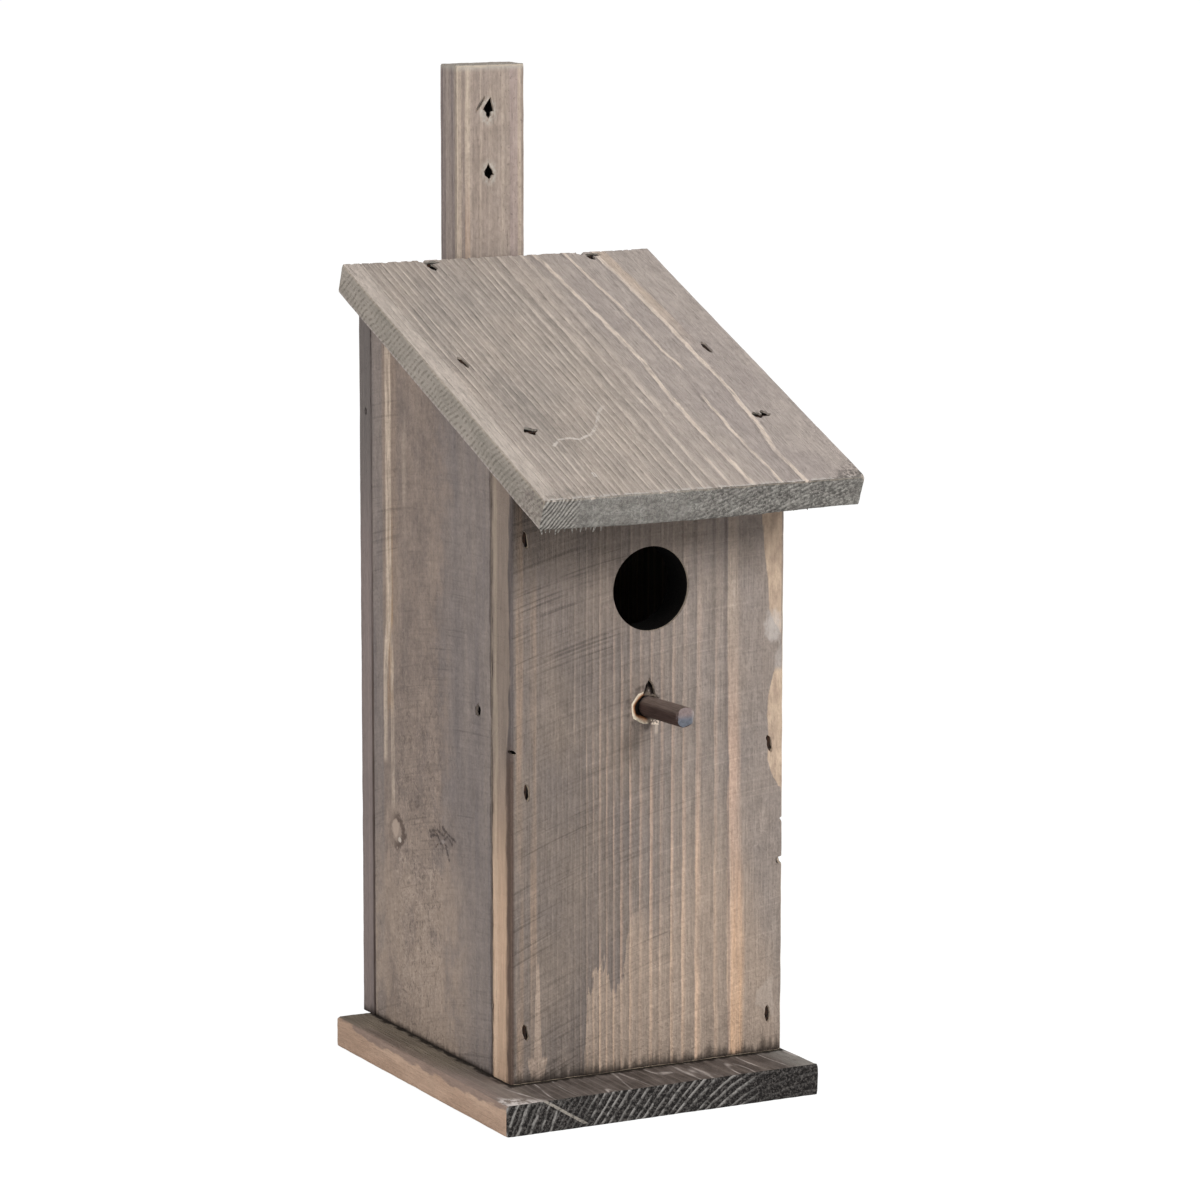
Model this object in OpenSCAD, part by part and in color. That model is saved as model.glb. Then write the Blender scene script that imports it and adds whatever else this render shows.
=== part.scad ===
// Nest box of weathered boards with a sloping roof, a perch and a batten to hang it by.
// Millimetres. +Z is up, the entrance faces -Y, and the origin is under the middle of the box,
// on the underside of the floor board.

/* [Body] */
// Width of the front board, which is the width of the body
body_w = 116; // [90:1:180]
// Depth of the body, from the front board's face to the back board's
body_d = 131; // [100:1:180]
// Height of the front board's face, from the floor board up to the roof
front_h = 233.5; // [210:0.5:262]
// Thickness of the front board
front_t = 16; // [10:0.5:22]
// Thickness of each side board
side_t = 12; // [9:0.5:16]
// Thickness of the back board
back_t = 11; // [8:0.5:18]

/* [Floor] */
// Thickness of the floor board
floor_t = 12; // [8:0.5:20]
// How far the floor board stands out in front of the body
floor_front = 24.5; // [0:0.5:50]
// How far the floor board stands out on the left
floor_left = 14.5; // [0:0.5:30]
// How far the floor board stands out on the right
floor_right = 3; // [0:0.5:30]
// How far the floor board stops short of the body's back
floor_short = 6; // [0:0.5:7]

/* [Roof] */
// Thickness of the roof board
roof_t = 12; // [8:0.5:20]
// Slope of the roof, in degrees
roof_slope = 22; // [10:0.5:30]
// How far the roof board runs past the front board, measured down its slope
roof_front = 44; // [20:0.5:80]
// How far the roof board stands out on each side
roof_side = 9; // [0:0.5:30]

/* [Batten] */
// Width of the batten
batten_w = 29.5; // [18:0.5:45]
// Thickness of the batten
batten_t = 15; // [8:0.5:25]
// How far the batten's middle lies to the right of the body's middle
batten_x = -0.5; // [-15:0.5:15]
// How far the batten rises above the floor board
batten_h = 372; // [360:0.5:480]
// Diameter of the two screw holes
screw_d = 4; // [3:0.5:8]
// How far the screw holes lie to the right of the batten's middle
screw_x = -1; // [-4:0.5:4]
// Distance from the batten's top to the upper screw hole
screw_top = 17; // [10:0.5:22]
// Distance from the upper screw hole to the lower one
screw_pitch = 25; // [12:0.5:30]

/* [Entrance and perch] */
// Diameter of the entrance hole
entrance_d = 32; // [26:0.5:50]
// Height of the entrance hole's centre above the floor board
entrance_h = 184.5; // [170:0.5:190]
// How far the entrance hole lies to the right of the body's middle
entrance_x = 0.8; // [-5:0.1:5]
// Diameter of the perch
perch_d = 8; // [6:0.5:12]
// Gap all round the perch in its hole
perch_gap = 0.1; // [0.05:0.05:0.3]
// How far the perch stands out of the front board
perch_out = 27.5; // [15:0.5:60]
// Distance from the entrance hole's centre down to the perch
perch_drop = 45; // [36:0.5:70]
// Upward tilt of the perch, in degrees
perch_tilt = 1.5; // [0:0.5:6]
// Width of the torn mouth round the perch
torn_d = 13; // [9:0.5:16]
// Depth of the torn mouth round the perch
torn_deep = 2; // [1:0.5:4]

/* [Staples] */
// Width of a staple's crown
crown_w = 6.5; // [5:0.5:9]
// Width of the staple wire
wire_w = 1.2; // [0.8:0.1:1.6]
// Thickness of the staple wire
wire_t = 0.9; // [0.6:0.1:1.4]
// Depth of a crown below the board's face
crown_sunk = 0.6; // [0.2:0.1:1.2]
// How far the staples of the walls, roof and floor reach into the board behind
bite = 13; // [8:0.5:18]
// How far the batten's staples reach into the back board
batten_bite = 7; // [3:0.5:8]
// Height of the lowest left staple above the floor board
left_low = 20; // [10:0.5:60]
// How far the middle left staple lies above the front board's half height
left_mid = -5; // [-30:0.5:30]
// Distance from the roof down to the highest left staple
left_high = 27; // [20:0.5:60]
// Height of the lowest right staple above the floor board
right_low = 15; // [10:0.5:60]
// How far the middle right staple lies above the front board's half height
right_mid = 4; // [-30:0.5:30]
// Distance from the roof down to the highest right staple
right_high = 25; // [20:0.5:60]
// Distance from the body's sides to the roof's front staples
roof_front_inset = 9; // [6:0.5:30]
// How far up the slope from the middle of the body the roof's side staples lie
roof_side_shift = -11; // [-20:0.5:20]
// Distance from the body's left side to the roof's left back staple
roof_back_left = 28; // [10:0.5:38]
// Distance from the body's right side to the roof's right back staple
roof_back_right = 17; // [10:0.5:38]
// Distance from the back board's inner face to the roof's back staples
roof_back_in = 4; // [2:0.5:5]
// Distance from the body's sides to the floor's front staples
floor_inset = 24; // [18:0.5:40]
// Distance from the floor board and from the eaves to the batten's end staples
batten_inset = 30; // [15:0.5:60]

/* [Finish] */
// Rounding worn on the long edges of every board
edge_r = 1; // [0.5:0.25:2]
// Rounding of the floor board's front right corner, seen from above
floor_corner_r = 4; // [1.5:0.5:10]
// Rounding of the roof board's front right corner, seen from above
roof_corner_r = 3; // [1.5:0.5:10]

/* [Hidden] */

// Smoothness of round surfaces
$fn = 64;
// Length by which a cut runs clear of a face
past = 1;

// Planes of the body
front_y = -body_d / 2;
back_y = body_d / 2;
half_w = body_w / 2;
side_x = half_w - side_t / 2;

// Underside of the roof at the front board's face, and above any y
eaves_z = floor_t + front_h;
function roof_z(y) = eaves_z + (y - front_y) * tan(roof_slope);

// Length of the body along the slope of the roof
slope_l = body_d / cos(roof_slope);

batten_top_z = floor_t + batten_h;
screw_z = batten_top_z - screw_top;
entrance_z = floor_t + entrance_h;
perch_z = entrance_z - perch_drop;

// Height to which the walls run before the roof's underside cuts them
uncut_h = roof_z(back_y) + past - floor_t;

// Heights of a column of three staples
function column(low, mid, high) = [floor_t + low, floor_t + front_h / 2 + mid, eaves_z - high];
left_zs = column(left_low, left_mid, left_high);
right_zs = column(right_low, right_mid, right_high);
batten_zs = column(batten_inset, 0, batten_inset);

// Where the roof's front staples enter, so that they end in the middle of the front board
roof_front_up = (front_t - bite * sin(roof_slope)) / 2 / cos(roof_slope);

// The roof's back staples go straight down into the back board
roof_back_y = back_y - back_t + roof_back_in;
roof_back_z = roof_z(roof_back_y) + roof_t / cos(roof_slope);

// The floor's side staples stand between the tips of the wall staples
tips_front_y = front_y + front_t + bite;
tips_back_y = back_y - back_t - bite;
floor_side_ys = [for (share = [0.25, 0.75]) tips_front_y + share * (tips_back_y - tips_front_y)];

// Height of a slot above a staple's crown, so that it is open to the face
slot_rise = crown_sunk + past;

// Colours of the pieces
front_colour = [0.53, 0.48, 0.44];
side_colour = [0.49, 0.46, 0.44];
roof_colour = [0.56, 0.52, 0.49];
floor_colour = [0.45, 0.41, 0.38];
batten_colour = [0.54, 0.48, 0.42];
perch_colour = [0.27, 0.23, 0.21];
staple_colour = [0.16, 0.14, 0.13];

// Rectangle from [0, 0] with its own rounding on each corner: near left, near right, far right, far left
module rounded_rect(w, l, radii) {
    corners = [[0, 0], [w, 0], [w, l], [0, l]];
    difference() {
        square([w, l]);
        for (i = [0:3])
            if (radii[i] > 0)
                translate(corners[i])
                    rotate(90 * i)
                        corner_waste(radii[i]);
    }
}

// What a rounding of radius r takes off a corner at [0, 0]
module corner_waste(r) {
    difference() {
        translate([-past, -past])
            square(r + past);
        translate([r, r])
            circle(r);
    }
}

// Board lying flat from [0, 0, 0], w wide and l long, with its long edges worn round
module flat_board(w, l, t, corner_radii) {
    intersection() {
        translate([0, l, 0])
            rotate([90, 0, 0])
                linear_extrude(l)
                    rounded_rect(w, t, [edge_r, edge_r, edge_r, edge_r]);
        linear_extrude(t)
            rounded_rect(w, l, corner_radii);
    }
}

// Moves to the slope of the roof: x across, y up the slope from the front board's face, z out of the roof
module on_slope() {
    translate([0, front_y, eaves_z])
        rotate([roof_slope, 0, 0])
            children();
}

// Moves to the perch: z runs out along it from the front board's face
module on_perch() {
    translate([entrance_x, front_y, perch_z])
        rotate([90 - perch_tilt, 0, 0])
            children();
}

// Wall board standing on the floor board from [x, y], cut off by the roof's underside
module wall_board(x, y, w, t, corner_radii) {
    difference() {
        translate([x, y, floor_t])
            linear_extrude(uncut_h)
                rounded_rect(w, t, corner_radii);
        on_slope()
            translate([-body_w, -body_d, 0])
                cube([2 * body_w, 3 * body_d, body_d]);
    }
}

// Staple driven down from z = 0 with its crown along X, or with a rise the slot that it leaves
module staple(leg, rise) {
    translate([0, wire_w / 2, 0])
        rotate([90, 0, 0])
            linear_extrude(wire_w)
                difference() {
                    translate([-crown_w / 2, -leg])
                        square([crown_w, leg - crown_sunk + rise]);
                    translate([-crown_w / 2 + wire_t, -leg - past])
                        square([crown_w - 2 * wire_t, leg + past - crown_sunk - wire_t]);
                }
}

// Staples through the front board into one side board; side is -1 on the left and 1 on the right
module front_staples(side, rise = 0) {
    for (z = side < 0 ? left_zs : right_zs)
        translate([side * side_x, front_y, z])
            rotate([90, 90, 0])
                staple(front_t + bite, rise);
}

// Staples through the back board into one side board
module back_staples(side, rise = 0) {
    for (z = side < 0 ? left_zs : right_zs)
        translate([side * side_x, back_y, z])
            rotate([-90, 90, 0])
                staple(back_t + bite, rise);
}

// Staples through the roof board into the side boards, their crowns along the grain
module roof_side(rise = 0) {
    for (side = [-1, 1])
        on_slope()
            translate([side * side_x, slope_l / 2 + roof_side_shift, roof_t])
                rotate([0, 0, 90])
                    staple(roof_t + bite, rise);
}

// Staples through the roof board into the front board, their crowns across the grain
module roof_front(rise = 0) {
    for (side = [-1, 1])
        on_slope()
            translate([side * (half_w - roof_front_inset), roof_front_up, roof_t])
                staple(roof_t + bite, rise);
}

// Staples straight down through the roof board into the back board
module roof_back(rise = 0) {
    for (x = [-half_w + roof_back_left, half_w - roof_back_right])
        translate([x, roof_back_y, roof_back_z])
            staple(roof_t / cos(roof_slope) + bite, rise);
}

// Staples up through the floor board into the front board
module floor_front_row(rise = 0) {
    for (side = [-1, 1])
        translate([side * (half_w - floor_inset), front_y + front_t / 2, 0])
            rotate([180, 0, 0])
                staple(floor_t + bite, rise);
}

// Staples up through the floor board into one side board
module floor_side_row(side, rise = 0) {
    for (y = floor_side_ys)
        translate([side * side_x, y, 0])
            rotate([180, 0, 90])
                staple(floor_t + bite, rise);
}

// Staples through the batten into the back board
module batten_row(rise = 0) {
    for (z = batten_zs)
        translate([batten_x, back_y + batten_t, z])
            rotate([-90, 90, 0])
                staple(batten_t + batten_bite, rise);
}

module floor_board() {
    floor_w = body_w + floor_left + floor_right;
    floor_l = body_d + floor_front - floor_short;
    color(floor_colour)
        difference() {
            translate([-half_w - floor_left, front_y - floor_front, 0])
                flat_board(floor_w, floor_l, floor_t, [edge_r, floor_corner_r, edge_r, edge_r]);
            floor_front_row(slot_rise);
            floor_side_row(-1, slot_rise);
            floor_side_row(1, slot_rise);
        }
}

module front_board() {
    color(front_colour)
        difference() {
            wall_board(-half_w, front_y, body_w, front_t, [edge_r, edge_r, 0, 0]);
            translate([entrance_x, front_y - past, entrance_z])
                rotate([-90, 0, 0])
                    cylinder(d = entrance_d, h = front_t + 2 * past);
            on_perch()
                perch_hole();
            front_staples(-1, slot_rise);
            front_staples(1, slot_rise);
            roof_front(slot_rise);
            floor_front_row(slot_rise);
        }
}

// Hole for the perch, with the torn mouth round it
module perch_hole() {
    hole_d = perch_d + 2 * perch_gap;
    translate([0, 0, -2 * front_t])
        cylinder(d = hole_d, h = 2 * front_t + past);
    translate([0, 0, -torn_deep])
        cylinder(d1 = hole_d, d2 = torn_d, h = torn_deep);
    cylinder(d = torn_d, h = past);
}

module side_board(side) {
    color(side_colour)
        difference() {
            wall_board(side * side_x - side_t / 2, front_y + front_t, side_t, body_d - front_t - back_t,
                [0, 0, 0, 0]);
            front_staples(side, slot_rise);
            back_staples(side, slot_rise);
            roof_side(slot_rise);
            floor_side_row(side, slot_rise);
        }
}

module left_side_board() {
    side_board(-1);
}

module right_side_board() {
    side_board(1);
}

module back_board() {
    color(side_colour)
        difference() {
            wall_board(-half_w, back_y - back_t, body_w, back_t, [0, 0, edge_r, edge_r]);
            back_staples(-1, slot_rise);
            back_staples(1, slot_rise);
            roof_back(slot_rise);
            batten_row(slot_rise);
        }
}

module roof_board() {
    roof_w = body_w + 2 * roof_side;
    roof_l = roof_front + slope_l;
    color(roof_colour)
        difference() {
            on_slope()
                translate([-roof_w / 2, -roof_front, 0])
                    flat_board(roof_w, roof_l, roof_t, [edge_r, roof_corner_r, edge_r, edge_r]);
            roof_side(slot_rise);
            roof_front(slot_rise);
            roof_back(slot_rise);
        }
}

module hanging_batten() {
    color(batten_colour)
        difference() {
            translate([batten_x - batten_w / 2, back_y, floor_t])
                linear_extrude(batten_h)
                    rounded_rect(batten_w, batten_t, [edge_r, edge_r, edge_r, edge_r]);
            for (z = [screw_z, screw_z - screw_pitch])
                translate([batten_x + screw_x, back_y - past, z])
                    rotate([-90, 0, 0])
                        cylinder(d = screw_d, h = batten_t + 2 * past);
            batten_row(slot_rise);
        }
}

module perch_dowel() {
    color(perch_colour)
        on_perch()
            translate([0, 0, -front_t])
                cylinder(d = perch_d, h = front_t + perch_out);
}

module front_staples_left() {
    color(staple_colour) front_staples(-1);
}

module front_staples_right() {
    color(staple_colour) front_staples(1);
}

module back_staples_left() {
    color(staple_colour) back_staples(-1);
}

module back_staples_right() {
    color(staple_colour) back_staples(1);
}

module roof_side_staples() {
    color(staple_colour) roof_side();
}

module roof_front_staples() {
    color(staple_colour) roof_front();
}

module roof_back_staples() {
    color(staple_colour) roof_back();
}

module floor_staples_front() {
    color(staple_colour) floor_front_row();
}

module floor_staples_left() {
    color(staple_colour) floor_side_row(-1);
}

module floor_staples_right() {
    color(staple_colour) floor_side_row(1);
}

module batten_staples() {
    color(staple_colour) batten_row();
}

floor_board();
front_board();
left_side_board();
right_side_board();
back_board();
roof_board();
hanging_batten();
perch_dowel();
front_staples_left();
front_staples_right();
back_staples_left();
back_staples_right();
roof_side_staples();
roof_front_staples();
roof_back_staples();
floor_staples_front();
floor_staples_left();
floor_staples_right();
batten_staples();
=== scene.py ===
import math
import random

import bmesh
import bpy
from mathutils import Euler, Matrix, Vector


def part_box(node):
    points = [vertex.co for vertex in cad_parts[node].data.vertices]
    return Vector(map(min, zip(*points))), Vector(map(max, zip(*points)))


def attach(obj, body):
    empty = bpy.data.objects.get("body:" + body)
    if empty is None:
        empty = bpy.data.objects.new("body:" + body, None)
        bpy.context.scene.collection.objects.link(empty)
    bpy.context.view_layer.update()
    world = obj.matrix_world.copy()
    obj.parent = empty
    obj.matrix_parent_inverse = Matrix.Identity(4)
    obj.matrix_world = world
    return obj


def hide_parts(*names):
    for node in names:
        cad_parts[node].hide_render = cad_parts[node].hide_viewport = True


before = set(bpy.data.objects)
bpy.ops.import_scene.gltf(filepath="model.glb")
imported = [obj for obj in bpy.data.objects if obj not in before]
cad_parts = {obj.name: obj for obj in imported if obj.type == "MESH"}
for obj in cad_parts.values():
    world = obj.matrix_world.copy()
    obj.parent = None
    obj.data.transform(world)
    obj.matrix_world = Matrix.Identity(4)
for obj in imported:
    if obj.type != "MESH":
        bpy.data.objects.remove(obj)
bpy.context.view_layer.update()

MM = 0.001

# Corners of the box's pieces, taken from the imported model
FLOOR_LO, FLOOR_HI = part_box("floor_board")
FRONT_LO, FRONT_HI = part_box("front_board")
LEFT_LO, LEFT_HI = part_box("left_side_board")
RIGHT_LO, RIGHT_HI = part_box("right_side_board")
BACK_LO, BACK_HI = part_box("back_board")
ROOF_LO, ROOF_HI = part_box("roof_board")
BATTEN_LO, BATTEN_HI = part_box("hanging_batten")
DOWEL_LO, DOWEL_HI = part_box("perch_dowel")

# The roof's slope, and the frame that runs up along it from the front board's face
ROOF_SLOPE = math.radians(22)
ROOF_T = 12 * MM
EAVES_Z = FRONT_HI.z - (FRONT_HI.y - FRONT_LO.y) * math.tan(ROOF_SLOPE)
ON_SLOPE = Matrix.Translation((0, FRONT_LO.y, EAVES_Z)) @ Matrix.Rotation(ROOF_SLOPE, 4, "X")
SLOPE_START = (ROOF_LO.y - FRONT_LO.y + ROOF_T * math.sin(ROOF_SLOPE)) / math.cos(ROOF_SLOPE)
SLOPE_END = (ROOF_HI.y - FRONT_LO.y) / math.cos(ROOF_SLOPE)
SLOPE_NORMAL = Vector((0, -math.sin(ROOF_SLOPE), math.cos(ROOF_SLOPE)))

# Where the roof's staples lie: up the slope, and the back ones along Y
ROOF_SIDE_UP = 59.65 * MM
ROOF_FRONT_UP = 6 * MM
ROOF_BACK_Y = 58.5 * MM

# Rounding of the boards' edges, in mm
EDGE_R = 1
CUT_R = 0.5
CORNER_R = 1.5

# Entrance and perch
ENTRANCE = Vector((0.8 * MM, FRONT_LO.y, 196.5 * MM))
ENTRANCE_D = 32 * MM
PERCH = Vector((0.8 * MM, FRONT_LO.y, 151.5 * MM))
PERCH_D = 8 * MM
PERCH_OUT = 27.5 * MM
PERCH_TILT = math.radians(1.5)
ON_PERCH = Matrix.Translation(PERCH) @ Matrix.Rotation(math.radians(90) - PERCH_TILT, 4, "X")
TORN_D = 13.6 * MM
TORN_DEEP = 1.7 * MM

# Slits that the staples left, in mm
CROWN_W = 6.5
SLIT_OVER = 0.9
SLIT_W = 3
SLIT_DEEP = 1.5

# How uneven a gouge is for its width, how far a drill stands out of the face, and the room of one staple
UNEVEN = 0.12
ABOVE = 3 * MM
ONE_STAPLE = 32 * MM


# Modelling

def only(obj):
    """Leaves obj alone selected and active."""
    bpy.ops.object.select_all(action="DESELECT")
    obj.select_set(True)
    bpy.context.view_layer.objects.active = obj


def bake_place(obj, matrix=None):
    """Moves obj by matrix and puts its place into its mesh."""
    if matrix is not None:
        obj.matrix_world = matrix @ obj.matrix_world
        bpy.context.view_layer.update()
    only(obj)
    bpy.ops.object.transform_apply(location=True, rotation=True, scale=True)
    return obj


def primitive(add, name, **settings):
    """A new primitive from the operator add, with its place in its mesh."""
    bpy.ops.object.select_all(action="DESELECT")
    add(**settings)
    obj = bpy.context.object
    obj.name = name
    obj.data.name = name
    return bake_place(obj)


def blank(name, lo, hi):
    """A sawn block from lo to hi."""
    lo, hi = Vector(lo), Vector(hi)
    return primitive(bpy.ops.mesh.primitive_cube_add, name, size=1, location=(lo + hi) / 2, scale=hi - lo)


def linked(name, data):
    """A new object in the scene."""
    obj = bpy.data.objects.new(name, data)
    bpy.context.scene.collection.objects.link(obj)
    return obj


def pick_edges(obj, test):
    """In edit mode, selects the edges whose two ends pass test, and nothing else."""
    bpy.ops.mesh.select_mode(type="EDGE")
    bpy.ops.mesh.select_all(action="DESELECT")
    mesh = bmesh.from_edit_mesh(obj.data)
    for edge in mesh.edges:
        edge.select = test(edge.verts[0].co, edge.verts[1].co)
    mesh.select_flush_mode()
    bmesh.update_edit_mesh(obj.data)


def round_edges(obj, axis, radius, segments=3, where=lambda middle: True):
    """Rounds the edges of obj that run along an axis (0, 1 or 2), by radius in mm, if their
    middle passes where."""
    only(obj)
    bpy.ops.object.mode_set(mode="EDIT")

    def runs(a, b):
        span = b - a
        return abs(span[axis]) > 0.9 * span.length and where((a + b) / 2)
    pick_edges(obj, runs)
    bpy.ops.mesh.bevel(offset=radius * MM, segments=segments, affect="EDGES")
    bpy.ops.object.mode_set(mode="OBJECT")


def saw_off(obj, point, normal):
    """Saws obj along a plane and keeps the part behind its normal."""
    only(obj)
    bpy.ops.object.mode_set(mode="EDIT")
    bpy.ops.mesh.select_all(action="SELECT")
    bpy.ops.mesh.bisect(plane_co=point, plane_no=normal, use_fill=True, clear_outer=True)
    bpy.ops.object.mode_set(mode="OBJECT")


def wall(name, lo, hi):
    """A board whose top is sawn to the roof's slope."""
    obj = blank(name, lo, hi)
    saw_off(obj, (0, FRONT_LO.y, EAVES_Z), SLOPE_NORMAL)
    return obj


def apply_modifier(obj, modifier):
    only(obj)
    bpy.ops.object.modifier_apply(modifier=modifier.name)


def carve(obj, cutters, operation="DIFFERENCE"):
    """Cuts each cutter out of obj, or joins it on, and removes the cutter."""
    for cutter in cutters:
        modifier = obj.modifiers.new("Carve", "BOOLEAN")
        modifier.operation = operation
        modifier.solver = "MANIFOLD"
        modifier.object = cutter
        apply_modifier(obj, modifier)
        bpy.data.objects.remove(cutter)


def gathered(cutters):
    """Cutters that don't touch each other, as one."""
    bpy.ops.object.select_all(action="DESELECT")
    for cutter in cutters:
        cutter.select_set(True)
    bpy.context.view_layer.objects.active = cutters[0]
    bpy.ops.object.join()
    return bpy.context.object


def age(obj, fine, *wear):
    """Covers obj with faces as small as fine, then wears them in and out. Each wear gives the size of its
    pattern along each axis, how deep it goes, and a seed. All in mm."""
    modifier = obj.modifiers.new("Even", "REMESH")
    modifier.mode = "VOXEL"
    modifier.voxel_size = fine * MM
    apply_modifier(obj, modifier)
    for grain, deep, seed in wear:
        texture = bpy.data.textures.new(obj.name, "CLOUDS")
        texture.noise_scale = 1
        texture.noise_depth = 2
        guide = linked("guide", None)
        guide.scale = Vector(grain) * MM
        guide.location = Vector((seed * 17, seed * 23, seed * 9)) * MM
        bpy.context.view_layer.update()
        modifier = obj.modifiers.new("Weather", "DISPLACE")
        modifier.texture = texture
        modifier.texture_coords = "OBJECT"
        modifier.texture_coords_object = guide
        modifier.strength = deep * MM
        modifier.mid_level = 0.5
        apply_modifier(obj, modifier)
        bpy.data.objects.remove(guide)


def shake(obj, amount, rng):
    """Moves each corner of obj a little, so that no two cuts are alike."""
    for vertex in obj.data.vertices:
        vertex.co += Vector([rng.uniform(-amount, amount) for _ in range(3)])


def gouge(matrix, length, width, deep, rng, corners=8, narrow=0.6):
    """Pointed cutter on the face of matrix, first corner along X, down to deep. In mm."""
    cutter = primitive(bpy.ops.mesh.primitive_cone_add, "gouge", vertices=corners, radius1=0.5 * narrow,
                       radius2=0.5, depth=2, rotation=(0, 0, math.radians(-90)))
    cutter.scale = (length * MM, width * MM, deep * MM)
    bake_place(cutter)
    shake(cutter, UNEVEN * width * MM, rng)
    return bake_place(cutter, matrix)


def on_face(point, out, along):
    """Frame on a face: Z out of it, X along the given direction."""
    z = Vector(out).normalized()
    x = Vector(along)
    x = (x - z * x.dot(z)).normalized()
    turn = Matrix((x, z.cross(x), z)).transposed().to_4x4()
    return Matrix.Translation(point) @ turn


def slit(matrix, rng, length=CROWN_W):
    """What a staple leaves in the face."""
    return gouge(matrix, length + 2 * SLIT_OVER, SLIT_W, SLIT_DEEP, rng, narrow=0.7)


def drill(matrix, radius, deep, sides):
    """Round cutter that goes in from the face of matrix."""
    cutter = primitive(bpy.ops.mesh.primitive_cylinder_add, "drill", vertices=sides, radius=radius,
                       depth=deep + ABOVE, location=(0, 0, (ABOVE - deep) / 2))
    return bake_place(cutter, matrix)


def staples_of(node):
    """Middles of the separate staples of a CAD node."""
    groups = []
    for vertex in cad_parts[node].data.vertices:
        for group in groups:
            if (vertex.co - group[0]).length < ONE_STAPLE:
                group.append(vertex.co)
                break
        else:
            groups.append([vertex.co])
    middles = []
    for group in groups:
        lo = Vector([min(p[i] for p in group) for i in range(3)])
        hi = Vector([max(p[i] for p in group) for i in range(3)])
        middles.append((lo + hi) / 2)
    return sorted(middles, key=lambda middle: tuple(middle))


# Finishes

def tone(red, green, blue):
    """Colour as it is seen, 0 to 255, made linear for the shader."""
    linear = []
    for value in (red, green, blue):
        share = value / 255
        linear.append(share / 12.92 if share <= 0.04045 else ((share + 0.055) / 1.055) ** 2.4)
    return (*linear, 1)


# Wood just laid bare, and painted shade for the dark inside a hole or cut
BARE = (200, 182, 160)
HOLE_SHADE = (8, 6, 5)


class Value:
    """What a node puts out. It is added, taken away, multiplied and divided like a plain number."""

    def __init__(self, finish, socket):
        self.finish = finish
        self.socket = socket

    def __add__(self, other):
        return self.finish.math("ADD", self, other)

    def __radd__(self, other):
        return self.finish.math("ADD", other, self)

    def __sub__(self, other):
        return self.finish.math("SUBTRACT", self, other)

    def __rsub__(self, other):
        return self.finish.math("SUBTRACT", other, self)

    def __mul__(self, other):
        return self.finish.math("MULTIPLY", self, other)

    def __truediv__(self, other):
        return self.finish.math("DIVIDE", self, other)

    def __abs__(self):
        return self.finish.math("ABSOLUTE", self)

    def wave(self, length):
        """Sine of the value, one wave in each length."""
        return self.finish.math("SINE", self * (math.tau / length))

    def ramp(self, lo, hi, to_lo=0, to_hi=1, smooth=True):
        """The value brought from lo to hi into to_lo to to_hi, and held at both ends."""
        feeds = {"Value": self, "From Min": lo, "From Max": hi, "To Min": to_lo, "To Max": to_hi}
        kind = "SMOOTHSTEP" if smooth else "LINEAR"
        return self.finish.add("MapRange", feeds, interpolation_type=kind)

    def hill(self, middle, half, soft):
        """1 within half of middle, falling to 0 over soft."""
        return abs(self - middle).ramp(half, half + soft, 1, 0)

    def curve(self, stops, steps=False):
        """Height of the value on a line through the (place, height) stops, or in steps from each."""
        node = self.finish.node("ValToRGB", {0: self})
        marks = node.color_ramp.elements
        node.color_ramp.interpolation = "CONSTANT" if steps else "LINEAR"
        while len(marks) < len(stops):
            marks.new(1)
        for mark, (place, height) in zip(marks, stops):
            mark.position = place
            mark.color = (height, height, height, 1)
        return Value(self.finish, node.outputs[0])

    def follow(self, stops, top):
        """Height of the value on a line through the (place, height) stops, none of them above top."""
        start, stop = stops[0][0], stops[-1][0]
        marks = [((place - start) / (stop - start), height / top) for place, height in stops]
        return self.ramp(start, stop, smooth=False).curve(marks) * top

    def scaled(self, factor):
        """The vector or colour times a number."""
        return self.finish.add("VectorMath", {0: self, 3: factor}, operation="SCALE")

    def noise(self, size, detail=2, rough=0.5, twist=0, out=0):
        """Cloudy noise at this place, about 0.5 in the middle, as long as size along each axis."""
        feeds = {"Vector": self.finish.vector("DIVIDE", self, size), "Scale": 1, "Detail": detail,
                 "Roughness": rough, "Distortion": twist}
        return self.finish.add("TexNoise", feeds, out=out)


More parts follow.
